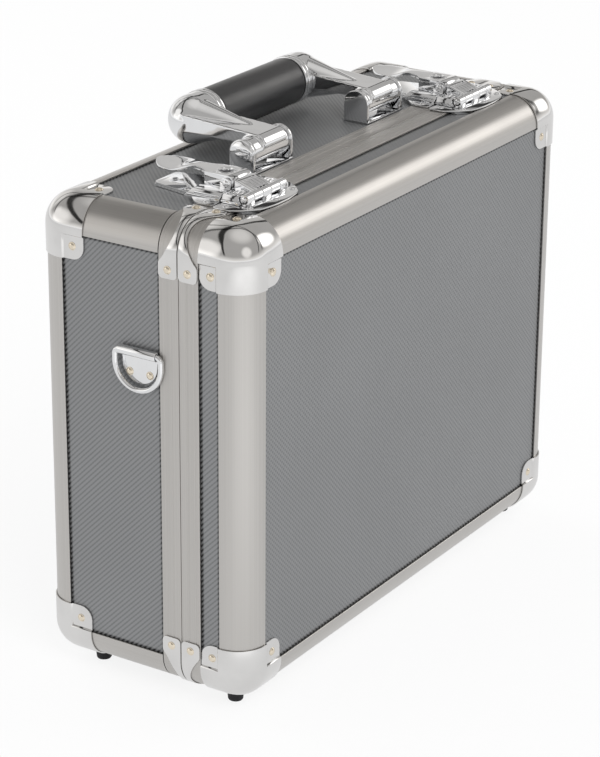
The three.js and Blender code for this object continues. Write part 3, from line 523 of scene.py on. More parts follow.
def bent_frame(points, face, away):
    """A section drawn at the middle of the top and swept round the shell's rounded outline."""
    form = bmesh.new()
    first = section_face(form, points, lambda s, d: (0, face + away * s, TOP - d))
    row = list(first.edges)
    bmesh.ops.delete(form, geom=[first], context="FACES_ONLY")
    half_top = BEND_X
    half_side = BEND_Z - MIDDLE
    for run, x_sign, z_sign in (
        ((half_top, 0, 0), 1, 1), ((0, 0, -2 * half_side), 1, -1),
        ((-2 * half_top, 0, 0), -1, -1), ((0, 0, 2 * half_side), -1, 1),
    ):
        row = pulled(form, row, run)
        centre = (x_sign * half_top, 0, MIDDLE + z_sign * half_side)
        row = bent(form, row, centre, (0, 1, 0), 90, BEND_STEPS)
    pulled(form, row, (half_top, 0, 0))
    return closed_up(form)


frame_finish = anodised("closing_frame", (LONG, FINE, LONG), 0.37)
for body, section, face, away in (
    ("base", outer_section + tongue, base_face, 1), ("lid", outer_section + channel, lid_face, -1),
):
    form = bent_frame(section, face, away)
    node = f"{body}_closing_frame"
    finished(form, f"{body}_closing_extrusion", frame_finish, body, "frame", node)


# A clip of polished plated steel is riveted round each bend of the closing frames. It has rounded
# ends and a round bite towards the panel, where the corner cap comes close.
CLIP_LIFT = 0.2
CLIP_SHEET = 0.85
CLIP_TOP_END = 173.0
CLIP_SIDE_END = TOP - 37.5
CLIP_FLAT = 8.0
CLIP_CORNER = 3.2
CLIP_RIVET = 31.5
CLIP_EDGES = (0.3, 14.7)
BITE_RADIUS = 23.0
BITE_DEPTH = 10.0
RIVET_OUTLINE = (
    (0, -0.3), (2.9, -0.3), (2.9, 0.15), (2.75, 0.32), (2.4, 0.4), (2.25, 0.62), (1.8, 1.0), (1.1, 1.28),
    (0, 1.4),
)


def polished(name, tint=(0.86, 0.865, 0.875, 1), rough=0.05, wave=0.12):
    """Bright plating over formed metal: a slow ripple, light haze in patches and fine rub marks."""
    finish, shader, place = new_finish(name, Metallic=1.0)
    haze = place.noise(38.0, 4.0)
    marks = place.stretched((1400.0, 300.0, 700.0)).noise(1.0, 2.0)
    dull = tuple(c * 0.93 for c in tint[:3]) + (1,)
    colour = haze.ramp(0.35, 0.7).blend(tint, dull)
    ripple = place.noise(95.0, 1.0).bump(wave, 0.0006)
    worn = haze.ramp(0.45, 0.75) * 0.06 + marks.ramp(0.62, 0.8) * 0.05 + rough
    feed(shader, Base_Color=colour, Normal=ripple, Roughness=worn)
    return finish


def lathed(points, steps=24):
    """A turned form on the Z axis from a few (radius, height) points, with closed poles."""
    form = bmesh.new()
    verts = [form.verts.new((radius, 0, height)) for radius, height in points]
    edges = [form.edges.new(pair) for pair in zip(verts, verts[1:])]
    bmesh.ops.spin(
        form, geom=verts + edges, cent=(0, 0, 0), axis=(0, 0, 1), angle=2 * math.pi, steps=steps,
        use_merge=True,
    )
    return closed_up(form, 0.0005)


def joined(*forms):
    """One form of several, which are used up."""
    whole = forms[0]
    for form in forms[1:]:
        copy = bpy.data.meshes.new("join")
        form.to_mesh(copy)
        form.free()
        whole.from_mesh(copy)
        bpy.data.meshes.remove(copy)
    return whole


def eased(form, width, steps=2, sharp=40.0):
    """Rounds off every edge that is sharper than an angle."""
    limit = math.radians(sharp)
    bevelled(form, [e for e in form.edges if e.is_manifold and e.calc_face_angle(0) > limit], width, steps)
    return form


def face_up(form):
    """Turns the faces of an open sheet so that most of them look up."""
    bmesh.ops.recalc_face_normals(form, faces=form.faces)
    if sum(f.normal.z for f in form.faces) < 0:
        bmesh.ops.reverse_faces(form, faces=form.faces)


def thickened(form, wall, edge, steps, sharp):
    """Gives a sheet its wall, and eases the wall's edges."""
    bmesh.ops.solidify(form, geom=form.faces[:], thickness=wall)
    return eased(form, edge, steps, sharp)


def rivet(x, y, z, outward):
    """A domed rivet head with a thin rim, that stands on a face and points outward."""
    form = lathed(RIVET_OUTLINE, 20)
    turned = Vector((0, 0, 1)).rotation_difference(Vector(outward)).to_matrix()
    bmesh.ops.rotate(form, cent=(0, 0, 0), matrix=turned, verts=form.verts)
    return put(form, x, y, z)


def clip(y_seam, y_panel, x_sign, z_sign):
    """Sheet strip round one bend, drawn for the right top corner."""
    form = bmesh.new()
    ends = [form.verts.new((CLIP_TOP_END, y, TOP + CLIP_LIFT)) for y in (y_seam, y_panel)]
    row = [form.edges.new(ends)]
    row = pulled(form, row, (CLIP_FLAT, 0, 0))
    for _ in range(5):
        row = pulled(form, row, ((BEND_X - CLIP_TOP_END - CLIP_FLAT) / 5, 0, 0))
    row = bent(form, row, (BEND_X, 0, BEND_Z), (0, 1, 0), 90, 18)
    for _ in range(5):
        row = pulled(form, row, (0, 0, -CLIP_FLAT / 5))
    pulled(form, row, (0, 0, CLIP_SIDE_END - (BEND_Z - CLIP_FLAT)))
    inward = 1 if y_seam > y_panel else -1
    for vert in form.verts:
        if abs(vert.co.y - y_panel) < 0.01:
            from_middle = (vert.co.x - HALF_LENGTH - (vert.co.z - TOP)) / math.sqrt(2)
            reach = BITE_RADIUS ** 2 - from_middle ** 2
            if reach > 0:
                bite = math.sqrt(reach) - (BITE_RADIUS - BITE_DEPTH)
                vert.co.y += inward * max(bite, 0)
    corners = [v for v in form.verts if len(v.link_edges) == 2]
    bevelled(form, corners, CLIP_CORNER, 6, "VERTICES")
    face_up(form)
    thickened(form, -CLIP_SHEET, 0.28, 2, 50)
    return put(form, z=0 if z_sign > 0 else 2 * MIDDLE, flip=(x_sign, 1, z_sign))


chrome = polished("polished_plate")
# The caps and the frame clips share a darker copy of the plate: painted shade, so that they render darker
# than the other plated parts.
shaded_cap_chrome = polished("shaded_cap_plate", (0.775, 0.768, 0.760, 1))
brass = polished("brassed_rivet", (0.86, 0.77, 0.63, 1), 0.12, 0.05)
clip_top = CLIP_LIFT + CLIP_SHEET
for body, face, away in (("base", base_face, 1), ("lid", lid_face, -1)):
    y_seam, y_panel = [face + away * edge for edge in CLIP_EDGES]
    middle_y = (y_seam + y_panel) / 2
    clips = []
    heads = []
    for side, x_sign in SIDES:
        for level, z_sign, z in LEVELS:
            clips.append(clip(y_seam, y_panel, x_sign, z_sign))
            on_level = (x_sign * (HALF_LENGTH - CLIP_RIVET), middle_y, z + z_sign * clip_top)
            on_side = (x_sign * (HALF_LENGTH + clip_top), middle_y, z - z_sign * CLIP_RIVET)
            heads.append(rivet(*on_level, (0, 0, z_sign)))
            heads.append(rivet(*on_side, (x_sign, 0, 0)))
    finished(joined(*clips), f"{body}_frame_clips", shaded_cap_chrome, body, "cap")
    finished(joined(*heads), f"{body}_clip_rivets", brass, body, "cap")


# Each corner cap is pressed from steel sheet and plated: a ball corner, three short legs over the
# profiles, and rounded tabs pressed down to the panels, with a rivet in each.
CAP_LEG = 39.5
LID_CAP_LEG = 36.4
CAP_LIFT = 0.25
CAP_SHEET = 0.8
CAP_CREASE = 0.42
TAB_STEP = 1.45
TAB_SLOPE = 0.9
TAB_ROUND = 9.0
CAP_RIVET = 9.0
LID_CAP_RIVET = 8.5


def along(axis, length):
    """A vector of a length on one axis."""
    vector = Vector((0, 0, 0))
    vector[axis] = length
    return vector


def corner_cap(y_leg, has_foot):
    """A cap at the origin, with its legs along +X, +Y and +Z, and its outside towards the minus side."""
    form = bmesh.new()
    bmesh.ops.create_cube(form, size=3 * CAP_LEG)
    shift = 1.5 * CAP_LEG - CAP_LIFT
    bmesh.ops.translate(form, vec=(shift, shift, shift), verts=form.verts)
    near = [e for e in form.edges if sum(all(v.co[i] < 1 for v in e.verts) for i in range(3)) == 2]
    bevelled(form, near, EDGE_RADIUS + CAP_LIFT, 18)
    legs = (CAP_LEG, y_leg, CAP_LEG)
    for axis in range(3):
        parted(form, along(axis, legs[axis]), along(axis, 1))
    far = [v for v in form.verts if sum(abs(v.co[i] - legs[i]) < 0.01 for i in range(3)) == 2]
    bevelled(form, far, TAB_ROUND, 8, "VERTICES")
    for axis in range(3):
        parted(form, along(axis, CORNER_START), along(axis, 1), clear=False)
    tabs = []
    for face in form.faces:
        centre = face.calc_center_median()
        on_foot = has_foot and face.normal.z < -0.9
        if sum(centre[i] > CORNER_START for i in range(3)) == 2 and not on_foot:
            tabs.append(face)
    bmesh.ops.inset_region(
        form, faces=tabs, use_boundary=False, use_even_offset=True, thickness=TAB_SLOPE, depth=-TAB_STEP,
    )
    creases = [e for e in form.edges if len(e.link_faces) == 2 and e.calc_face_angle(0) > 0.6]
    bevelled(form, creases, CAP_CREASE, 3)
    return thickened(form, -CAP_SHEET, 0.24, 2, 55)


for level, z_sign, z in LEVELS:
    for side, x_sign in SIDES:
        for body, face_y, y_sign, y_leg, y_rivet in (
            ("base", BACK, 1, CAP_LEG, CAP_LEG - CAP_RIVET),
            ("lid", FRONT, -1, LID_CAP_LEG, LID_CAP_LEG - LID_CAP_RIVET),
        ):
            flip = (-x_sign, -y_sign, -z_sign)
            place = (x_sign * HALF_LENGTH, face_y, z)
            node = f"{body}_{side}_{level}_cap"
            cap = put(corner_cap(y_leg, z_sign < 0), *place, flip=flip)
            finished(cap, node + "_shell", shaded_cap_chrome, body, "cap", node, crease=50.0)
            reach = CAP_LEG - CAP_RIVET
            depth = TAB_STEP - CAP_LIFT - CAP_SHEET
            heads = [rivet(depth, y_rivet, reach, (-1, 0, 0)), rivet(reach, depth, reach, (0, -1, 0))]
            if z_sign > 0:
                heads.append(rivet(reach, y_rivet, depth, (0, 0, -1)))
            finished(put(joined(*heads), *place, flip=flip), node + "_rivets", brass, body, "cap")


# Four moulded rubber feet with a chamfered rim stand under the bottom caps. Each is held by a
# screw whose head lies in a recess in its sole.
FOOT_X = HALF_LENGTH - 24.5
FOOT_ROWS = (("base", BACK - 31.0), ("lid", FRONT + 25.5))
FOOT_TOP = 8.15
FOOT_OUTLINE = (
    (0, 2.6), (2.7, 2.6), (2.9, 2.4), (2.9, 0.15), (3.05, 0), (4.3, 0), (4.75, 0.15), (5.2, 0.9),
    (5.75, 6.9), (5.95, 7.1), (6, 7.4), (6, FOOT_TOP - 0.15), (5.85, FOOT_TOP), (0, FOOT_TOP),
)
FOOT_SCREW = ((0, 1.0), (0.5, 1.0), (1.9, 1.15), (2.35, 1.5), (2.4, 2.7), (0, 2.7))
rubber, rubber_shader, rubber_place = new_finish("foot_rubber", Specular_IOR_Level=0.35)
grit = rubber_place.noise(900.0, 3.0)
grit_colour = grit.blend((0.010, 0.010, 0.011, 1), (0.026, 0.026, 0.028, 1))
feed(rubber_shader, Base_Color=grit_colour, Roughness=grit * 0.25 + 0.6, Normal=grit.bump(0.3, 0.0003))
steel = polished("zinc_steel", (0.62, 0.63, 0.64, 1), 0.22, 0.05)
for side, x_sign in SIDES:
    for body, y in FOOT_ROWS:
        foot = f"{body}_{side}_foot"
        pad = put(lathed(FOOT_OUTLINE, 32), x_sign * FOOT_X, y)
        finished(pad, foot + "_pad", rubber, body, "foot", foot)
        head = put(lathed(FOOT_SCREW, 24), x_sign * FOOT_X, y)
        finished(head, foot + "_screw", steel, body, "foot")


# On each side a D-ring of bent wire hangs in a plate whose top edge is rolled round its bar. The
# plate is pressed sheet with a half-round foot, and two rivets hold it to the panel.
RING_PLANE = 210.5
RING_Z = 245.0
RING_HALF = 18.1
RING_BEND = 3.6
RING_ARC_Z = -8.0
WIRE = 1.9
RING_PLATE_BACK = 207.3
RING_PLATE_SHEET = 0.95
RING_PLATE_OUTLINE = ((-15, 0), (-13.8, -7), (-13.2, -22), (13.2, -22), (13.8, -7), (15, 0))
RING_PLATE_ROUND = 12.6
ROLL_DEGREES = 288
RIVET_Y = 8.0
RIVET_Z = -15.0


def turn(form, axis, degrees):
    matrix = Matrix.Rotation(math.radians(degrees), 3, axis)
    bmesh.ops.rotate(form, cent=(0, 0, 0), matrix=matrix, verts=form.verts)
    return form


def ring_plate():
    """The right plate, with its roll on the Y axis of its own place."""
    form = bmesh.new()
    face = section_face(form, RING_PLATE_OUTLINE, lambda y, z: (RING_PLATE_BACK, y, z))
    top = [e for e in face.edges if all(abs(v.co.z) < 0.01 for v in e.verts)]
    feet = [v for v in face.verts if v.co.z < -20]
    bent(form, top, (RING_PLANE, 0, 0), (0, 1, 0), ROLL_DEGREES, 24)
    bevelled(form, feet, RING_PLATE_ROUND, 12, "VERTICES")
    closed_up(form)
    plate = max(form.faces, key=lambda f: f.calc_area())
    if plate.normal.x > 0:
        bmesh.ops.reverse_faces(form, faces=form.faces)
    return thickened(form, RING_PLATE_SHEET, 0.22, 2, 55)


def ring_wire():
    """The D of wire in the YZ plane, with its straight bar on the Y axis."""
    form = bmesh.new()
    bmesh.ops.create_circle(form, radius=WIRE, segments=20)
    turn(form, "X", 90)
    side = RING_HALF - RING_BEND
    drop = RING_ARC_Z + RING_BEND
    row = pulled(form, form.edges[:], (0, side, 0))
    row = bent(form, row, (0, side, -RING_BEND), (1, 0, 0), -90, 8)
    row = pulled(form, row, (0, 0, drop))
    row = bent(form, row, (0, 0, RING_ARC_Z), (1, 0, 0), -180, 40)
    row = pulled(form, row, (0, 0, -drop))
    row = bent(form, row, (0, -side, -RING_BEND), (1, 0, 0), -90, 8)
    pulled(form, row, (0, side, 0))
    return closed_up(form)


for side, x_sign in SIDES:
    spot = {"z": RING_Z, "flip": (x_sign, 1, 1)}
    plate = f"ring_plate_{side}"
    finished(put(ring_plate(), **spot), plate + "_sheet", chrome, "base", "ring_plate", plate, crease=50.0)
    heads = [rivet(RING_PLATE_BACK + RING_PLATE_SHEET, y, RIVET_Z, (1, 0, 0)) for y in (-RIVET_Y, RIVET_Y)]
    finished(put(joined(*heads), **spot), plate + "_rivets", brass, "base", "ring_plate")
    ring = put(ring_wire(), x_sign * RING_PLANE, 0, RING_Z)
    finished(ring, f"ring_{side}_wire", chrome, f"ring_{side}", "ring", f"ring_{side}")


# Two brackets of bent steel sheet carry the handle. Each has two round-topped cheeks with an axle
# between them, a flat sole on the top panel, and a domed cap on the outer cheek.
PIVOT_Y = -3.0
PIVOT_Z = 349.0
BRACKET_IN = 48.0
BRACKET_OUT = 95.5
CHEEK = 2.4
CHEEK_RADIUS = 9.75
SOLE_LOW = -13.2
SOLE_HIGH = -12.0
SOLE_LIMITS = (-10.5, 11.0)
FOLD = 1.4
AXLE = 2.5
AXLE_IN = 1.2
DOME_OUTLINE = (
    (0, -0.5), (9.1, -0.5), (9.1, 0.1), (8.95, 0.45), (8.5, 0.85), (7.2, 1.35), (5.2, 1.8), (2.8, 2.1),
    (0, 2.2),
)


def side_prism(points, low, high):
    """An outline of (back, up) points, pushed along X."""
    return laid(pushed(points, low, high), lambda a, b, c: (c, a, b))


def oblong(low, high, bottom, top):
    """The outline between four limits."""
    return ((low, bottom), (high, bottom), (high, top), (low, top))


def rounded(form, axis, chosen, radius, steps=8):
    """Rounds the edges along an axis, or any edges for None, whose middle chosen(middle) picks."""
    edges = []
    for edge in form.edges:
        middle = (edge.verts[0].co + edge.verts[1].co) / 2
        direction = (edge.verts[1].co - edge.verts[0].co).normalized()
        lies_along = axis is None or abs(direction["XYZ".index(axis)]) > 0.9
        if lies_along and chosen(middle):
            edges.append(edge)
    bevelled(form, edges, radius, steps)
    return form


def lathed_across(points, steps, x=0, y=0, z=0):
    """A turned form whose axis lies along X, from (radius, x) points."""
    return put(turn(lathed(points, steps), "Y", 90), x, y, z)


def rod(radius, low, high, y, z, steps=32, edge=0.4):
    """A turned pin along X with eased ends."""
    outline = (
        (0, low), (radius - edge, low), (radius, low + edge), (radius, high - edge),
        (radius - edge, high), (0, high),
    )
    return lathed_across(outline, steps, 0, y, z)


def cheek_plate(low, high):
    outline = oblong(-CHEEK_RADIUS, CHEEK_RADIUS, SOLE_LOW, CHEEK_RADIUS)
    cheek = side_prism(outline, low, high)
    rounded(cheek, "X", lambda m: m.z > 5, CHEEK_RADIUS - 0.02, 14)
    return eased(cheek, 0.5, 3)


def bracket():
    """The +X bracket, with the origin on the pivot."""
    sole = side_prism(oblong(*SOLE_LIMITS, SOLE_LOW, SOLE_HIGH), BRACKET_IN, BRACKET_OUT)
    parts = [
        eased(sole, 0.4),
        cheek_plate(BRACKET_IN, BRACKET_IN + CHEEK),
        cheek_plate(BRACKET_OUT - CHEEK, BRACKET_OUT),
        rod(AXLE, BRACKET_IN + AXLE_IN, BRACKET_OUT - AXLE_IN, 0, 0, 24),
    ]
    for x, inward in ((BRACKET_IN + CHEEK, 1), (BRACKET_OUT - CHEEK, -1)):
        fold = pushed(((0, 0), (FOLD, 0), (0, FOLD)), -CHEEK_RADIUS + 0.3, CHEEK_RADIUS - 0.3)
        parts.append(laid(fold, lambda a, b, c: (x + inward * a, c, SOLE_HIGH - 0.1 + b)))
    parts.append(lathed_across(DOME_OUTLINE, 48, BRACKET_OUT - 0.1))
    return joined(*parts)


for side, x_sign in SIDES:
    node = f"handle_bracket_{side}"
    form = put(bracket(), 0, PIVOT_Y, PIVOT_Z, flip=(x_sign, 1, 1))
    finished(form, node + "_sheet", chrome, "base", "bracket", node)


# The handle's arms are zinc castings, polished and plated: a barrel on the axle, a flat band that
# swells into a round shoulder, and two collar rings against the grip.
GRIP_Y = 59.4
GRIP_Z = 7.5
BARREL = 9.0
BARREL_PLAY = 0.6
SHOULDER = 17.0
SHOULDER_X = 66.0
NECK_START = 12.0
NECK_RADIUS = 4.5
COLLAR = 17.4
COLLAR_BORE = 14.0
COLLAR_START = 50.0
COLLAR_END = 57.0
ARM_IN = 56.0
ARM_OUT = 82.0
VOXEL = 0.55
BAND_OUTLINE = ((-10.4, 2.5), (GRIP_Y, 2.5), (GRIP_Y, 14.5), (0, 10.6), (-10.4, 10.6))
COLLAR_OUTLINE = (
    (COLLAR_BORE, COLLAR_START), (COLLAR - 0.5, COLLAR_START), (COLLAR - 0.12, 50.15), (COLLAR, 50.5),
    (COLLAR, 52.6), (COLLAR - 0.15, 52.9), (COLLAR - 0.6, 53.1), (COLLAR - 0.75, 53.4),
    (COLLAR - 0.6, 53.7), (COLLAR - 0.15, 53.9), (COLLAR, 54.2), (COLLAR, 56.4), (COLLAR - 0.2, 56.8),
    (COLLAR - 0.9, 57.1), (COLLAR_BORE, 57.1), (COLLAR_BORE, COLLAR_START),
)


def baked(form, add_modifier):
    """The form with one modifier applied to it."""
    holder = linked(form, "bake")
    mesh = holder.data
    add_modifier(holder)
    bpy.context.view_layer.update()
    scene_now = bpy.context.evaluated_depsgraph_get()
    done = bpy.data.meshes.new_from_object(holder.evaluated_get(scene_now))
    result = bmesh.new()
    result.from_mesh(done)
    bpy.data.objects.remove(holder)
    bpy.data.meshes.remove(mesh)
    bpy.data.meshes.remove(done)
    return result


def cast(form, size, passes):
    """Fuses crossing forms into one skin and softens the creases, as a casting's fillets are."""
    def add(holder):
        fuse = holder.modifiers.new("fuse", "REMESH")
        fuse.mode = "VOXEL"
        fuse.voxel_size = size
    skin = baked(form, add)
    axes = {"use_axis_x": True, "use_axis_y": True, "use_axis_z": True}
    for _ in range(passes):
        bmesh.ops.smooth_vert(skin, verts=skin.verts, factor=0.5, **axes)
    return skin


def sliced(form, point, outward):
    """Cuts away what lies beyond a plane and closes the cut."""
    parted(form, point, outward)
    bmesh.ops.holes_fill(form, edges=[e for e in form.edges if e.is_boundary])
    bmesh.ops.recalc_face_normals(form, faces=form.faces)
    return form


def arm():
    """The +X arm, with the origin on the pivot."""
    band = side_prism(BAND_OUTLINE, ARM_IN, ARM_OUT)
    rounded(band, "X", lambda m: m.y < -5 and m.z > 5, 7.9, 8)
    rounded(band, None, lambda m: m.x > 75 and m.y > 0 and m.z > 10, 4.2, 3)
    neck = bmesh.new()
    bmesh.ops.create_cone(
        neck, cap_ends=True, segments=40, radius1=SHOULDER, radius2=NECK_RADIUS, depth=GRIP_Y - NECK_START,
    )
    put(turn(neck, "X", 90), SHOULDER_X, (GRIP_Y + NECK_START) / 2, GRIP_Z)
    sliced(neck, (COLLAR_END, 0, 0), (-1, 0, 0))
    ball = [
        (0, COLLAR_START + 0.5), (SHOULDER - 1.5, COLLAR_START + 0.5), (SHOULDER - 1.5, COLLAR_END),
        (SHOULDER, COLLAR_END),
    ]
    for degrees in range(0, 90, 9):
        bow = math.radians(degrees)
        ball.append((SHOULDER * math.cos(bow), SHOULDER_X + SHOULDER * math.sin(bow)))
    ball.append((0, SHOULDER_X + SHOULDER))
    shoulder = lathed_across(ball, 48, 0, GRIP_Y, GRIP_Z)
    barrel_end = CHEEK + BARREL_PLAY
    barrel = rod(BARREL, BRACKET_IN + barrel_end, BRACKET_OUT - barrel_end, 0, 0, 48, 0.9)
    return cast(joined(barrel, band, neck, shoulder), VOXEL, 5)


for side, x_sign in SIDES:
    node = f"handle_arm_{side}"
    rings = lathed_across(COLLAR_OUTLINE, 64, 0, GRIP_Y, GRIP_Z)
    form = put(joined(arm(), rings), 0, PIVOT_Y, PIVOT_Z, flip=(x_sign, 1, 1))
    finished(form, node + "_casting", chrome, "handle", "arm", node, crease=60.0)


# The grip is leatherette drawn tight round a tube and sewn along its underside. Its ends are
# turned in against the collars.
GRIP_RADIUS = 16.6
GRIP_HALF = 49.7
GRIP_BORE = 6.3
GRIP_END = ((GRIP_BORE, GRIP_HALF), (15.2, GRIP_HALF), (16.1, 49.4), (16.5, 48.8), (GRIP_RADIUS, 47.6))
SEAM_SINK = 0.7
leather, leather_shader, leather_place = new_finish(
    "grip_leatherette", Specular_IOR_Level=1.0, Sheen_Weight=0.02, Sheen_Roughness=0.5,
)
pebble = leather_place.make(
    "ShaderNodeTexVoronoi", {"feature": "DISTANCE_TO_EDGE"}, {"Vector": leather_place, "Scale": 950.0},
)
soft = leather_place.noise(130.0, 4.0)
grain = pebble.ramp(0.0, 0.35) * 0.7 + soft * 0.3
grain_colour = grain.ramp(0.1, 0.7).blend((0.006, 0.006, 0.007, 1), (0.016, 0.016, 0.017, 1))
feed(leather_shader, Base_Color=grain_colour, Roughness=soft * 0.10 + 0.27, Normal=grain.bump(0.16, 0.0003))
grip_outline = tuple((radius, -x) for radius, x in GRIP_END) + GRIP_END[::-1] + ((GRIP_BORE, -GRIP_HALF),)
grip = lathed_across(grip_outline, 96)
seam_low = [v for v in grip.verts if abs(v.co.y) < 0.6 and v.co.z < -15]
bmesh.ops.translate(grip, vec=(0, 0, SEAM_SINK), verts=seam_low)
put(grip, 0, PIVOT_Y + GRIP_Y, PIVOT_Z + GRIP_Z)
finished(grip, "grip_cover", leather, "handle", "grip", "handle_grip")

STITCH = 3.4
STITCH_COUNT = 27
STITCH_ROW = 1.7
STITCH_Z = PIVOT_Z + GRIP_Z - GRIP_RADIUS + 0.08
STITCH_OUTLINE = ((0, -1.2), (0.28, -1.0), (0.36, -0.5), (0.36, 0.5), (0.28, 1.0), (0, 1.2))
thread, thread_shader, thread_place = new_finish("grip_thread", Roughness=0.7)
twist = thread_place.noise(1800.0, 2.0)
feed(thread_shader, Base_Color=twist.blend((0.012, 0.012, 0.013, 1), (0.05, 0.05, 0.052, 1)))
stitches = []
for count in range(STITCH_COUNT):
    x = (count - STITCH_COUNT // 2) * STITCH
    for y in (-STITCH_ROW, STITCH_ROW):
        stitches.append(lathed_across(STITCH_OUTLINE, 8, x, PIVOT_Y + GRIP_Y + y, STITCH_Z))
finished(joined(*stitches), "grip_stitches", thread, "handle", "grip")


# The base's half of each latch is a pressed plate riveted over the closing frame, with a stepped
# cheek on each side, two round-topped ears and the pin that the lever turns on.
LATCH_X = 136.0
PLATE_LOW = 0.3
PLATE_TOP = 1.5
PANEL_LOW = -1.2
PAD_LAP = 0.2
PIN = 1.5
PIN_S = 4.7
PIN_H = 9.8
PIN_HALF = 11.7
PIN_HEAD_X = 12.5
EAR_LIMITS = (10.8, 12.6)
EAR_ROUND = 3.6
STEP_LIMITS = (0.6, 28.0)
STEP_SLOPE = ((0, 23.0, 6.8), Vector((0, 5.3, 5.0)).normalized())
STEP_RIB_LIMITS = (24.0, 24.9)
BASE_HALF = ((32.7, 0.6), (32.7, 15), (19.5, 28), (13.5, 57), (13.5, 61))
BASE_PAD_HALF = ((19.0, 16.2), (19.0, 28), (13.1, 57), (13.1, 60.4))
BASE_RIVETS = ((28.8, 8.0), (-28.8, 8.0), (0, 53.0), (14.0, 33.0), (-14.0, 33.0))
STEP_OUTLINE = ((11.2, 1.0), (25.6, 1.0), (25.6, 3.6), (24.4, 3.9), (22.8, 6.8), (11.2, 6.8))
STEP_RIB_OUTLINE = ((1.4, 3.8), (21.5, 3.8), (20.0, 5.6), (1.4, 5.6))
EAR_OUTLINE = oblong(0.9, 9.0, 1.0, 13.2)
PAN_OUTLINE = ((0, -0.3), (2.3, -0.3), (2.3, 0.1), (2.1, 0.35), (1.4, 0.7), (0.7, 0.85), (0, 0.9))
PIN_HEAD = ((0, 0), (2.2, 0), (2.2, 0.3), (1.6, 0.75), (0, 0.9))


def level_prism(points, low, high):
    """An outline of (x, back) points, pushed up from low to high."""
    return laid(pushed(points, low, high), lambda a, b, c: (a, b, c))


def cross_prism(points, low, high):
    """An outline of (x, up) points, pushed back from low to high."""
    return laid(pushed(points, low, high), lambda a, b, c: (a, c, b))


def both_halves(half):
    """A whole outline of the points on its +X side."""
    return half + tuple((-x, s) for x, s in reversed(half))


def twinned(form):
    """The form with its mirror image across x = 0."""
    twin = put(form.copy(), flip=(-1, 1, 1))
    return joined(form, twin)


def pan_rivets(spots):
    """Low plated rivet heads on a latch plate."""
    return [put(lathed(PAN_OUTLINE, 20), x, s, PLATE_TOP) for x, s in spots]


def latch_pair(build, name, finish, body, slot):
    """Makes a piece of both latches, drawn round x = 0 with its origin at the seam on the top."""
    for side, x_sign in SIDES:
        form = put(build(), x_sign * LATCH_X, SEAM, TOP)
        node = f"{name}_{side}"
        finished(form, node + "_metal", finish, body.format(side=side), slot, node, crease=40.0)


def latch_base():
    plate = level_prism(both_halves(BASE_HALF), PLATE_LOW, PLATE_TOP)
    rounded(plate, "Z", lambda m: m.y > 58, 6.0, 8)
    rounded(plate, "Z", lambda m: abs(m.x) > 30, 2.4, 5)
    rounded(plate, "Z", lambda m: 14 < m.y < 30, 5.0, 6)
    eased(plate, 0.35)
    pad = level_prism(both_halves(BASE_PAD_HALF), PANEL_LOW, PLATE_LOW + PAD_LAP)
    step = sliced(cross_prism(STEP_OUTLINE, *STEP_LIMITS), *STEP_SLOPE)
    eased(step, 0.4, 3, 25)
    rib = eased(side_prism(STEP_RIB_OUTLINE, *STEP_RIB_LIMITS), 0.25, 2, 30)
    ear = side_prism(EAR_OUTLINE, *EAR_LIMITS)
    rounded(ear, "X", lambda m: m.z > 8, EAR_ROUND, 8)
    eased(ear, 0.3)
    head = lathed_across(PIN_HEAD, 20, PIN_HEAD_X, PIN_S, PIN_H)
    pin = rod(PIN, -PIN_HALF, PIN_HALF, PIN_S, PIN_H, 20)
    pairs = [twinned(form) for form in (step, rib, ear, head)]
    return joined(plate, pad, *pairs, pin, *pan_rivets(BASE_RIVETS))


latch_pair(latch_base, "latch_base", chrome, "base", "latch_base")


# Each latch lever is a zinc casting, polished and plated. It turns on its pin at a round nose,
# holds the lock, and runs back through a neck to a spade-shaped finger tail.
LEVER_TOP = 14.4
LEVER_HALF = 10.3
LEVER_NOSE = 4.5
LEVER_OUTLINE = oblong(0.1, 22.5, 5.2, LEVER_TOP)
HOLLOW_OUTLINE = oblong(10.5, 20.9, 2.0, 12.6)
HOLLOW_HALF = 8.7
LOCK_S = 12.4
LOCK_BORE = ((0, 0), (6.2, 0), (6.2, 20), (0, 20))
PIN_BORE = 1.8
BORE_EDGE = 0.0001
SLEEVE_LOW = 5.2
SLEEVE_BORE = 4.85
SLEEVE_STEPS = (
    (5.0, 8.6), (5.3, 0.75), (5.9, 0.15), (6.4, -0.2), (6.45, -0.5), (6.45, -8.0), (SLEEVE_BORE, -0.8),
)
TAIL_WALL = 2.3
TAIL_COLUMNS = 8
TAIL_CROWN = 0.35
# Each row of the tail has its distance from the seam, its half width and its rise
TAIL_ROWS = (
    (17.5, LEVER_HALF, 0.0), (19.5, 10.3, 0.1), (21.5, 10.0, 0.25), (23.0, 8.9, 0.4), (25.0, 7.4, 0.55),
    (28.0, 6.2, 0.75), (31.5, 5.4, 0.95), (35.0, 5.1, 0.95), (38.0, 5.7, 0.6), (40.5, 7.5, 0.0),
    (42.5, 10.0, -0.55), (44.5, 12.4, -1.0), (47.0, 13.6, -1.3), (50.0, 13.9, -1.4), (54.0, 13.3, -1.25),
    (57.5, 12.0, -0.9), (60.5, 9.8, -0.55), (63.2, 7.1, -0.25), (65.0, 4.3, -0.08), (66.0, 1.7, 0.0),
)


def carved(form, tool):
    """The form with another form cut out of it."""
    cutter = linked(tool, "tool")
    mesh = cutter.data

    def add(holder):
        cut = holder.modifiers.new("cut", "BOOLEAN")
        cut.operation = "DIFFERENCE"
        cut.solver = "EXACT"
        cut.object = cutter
    result = baked(form, add)
    bpy.data.objects.remove(cutter)
    bpy.data.meshes.remove(mesh)
    return result


def points_of(row):
    return list({vert for edge in row for vert in edge.verts})


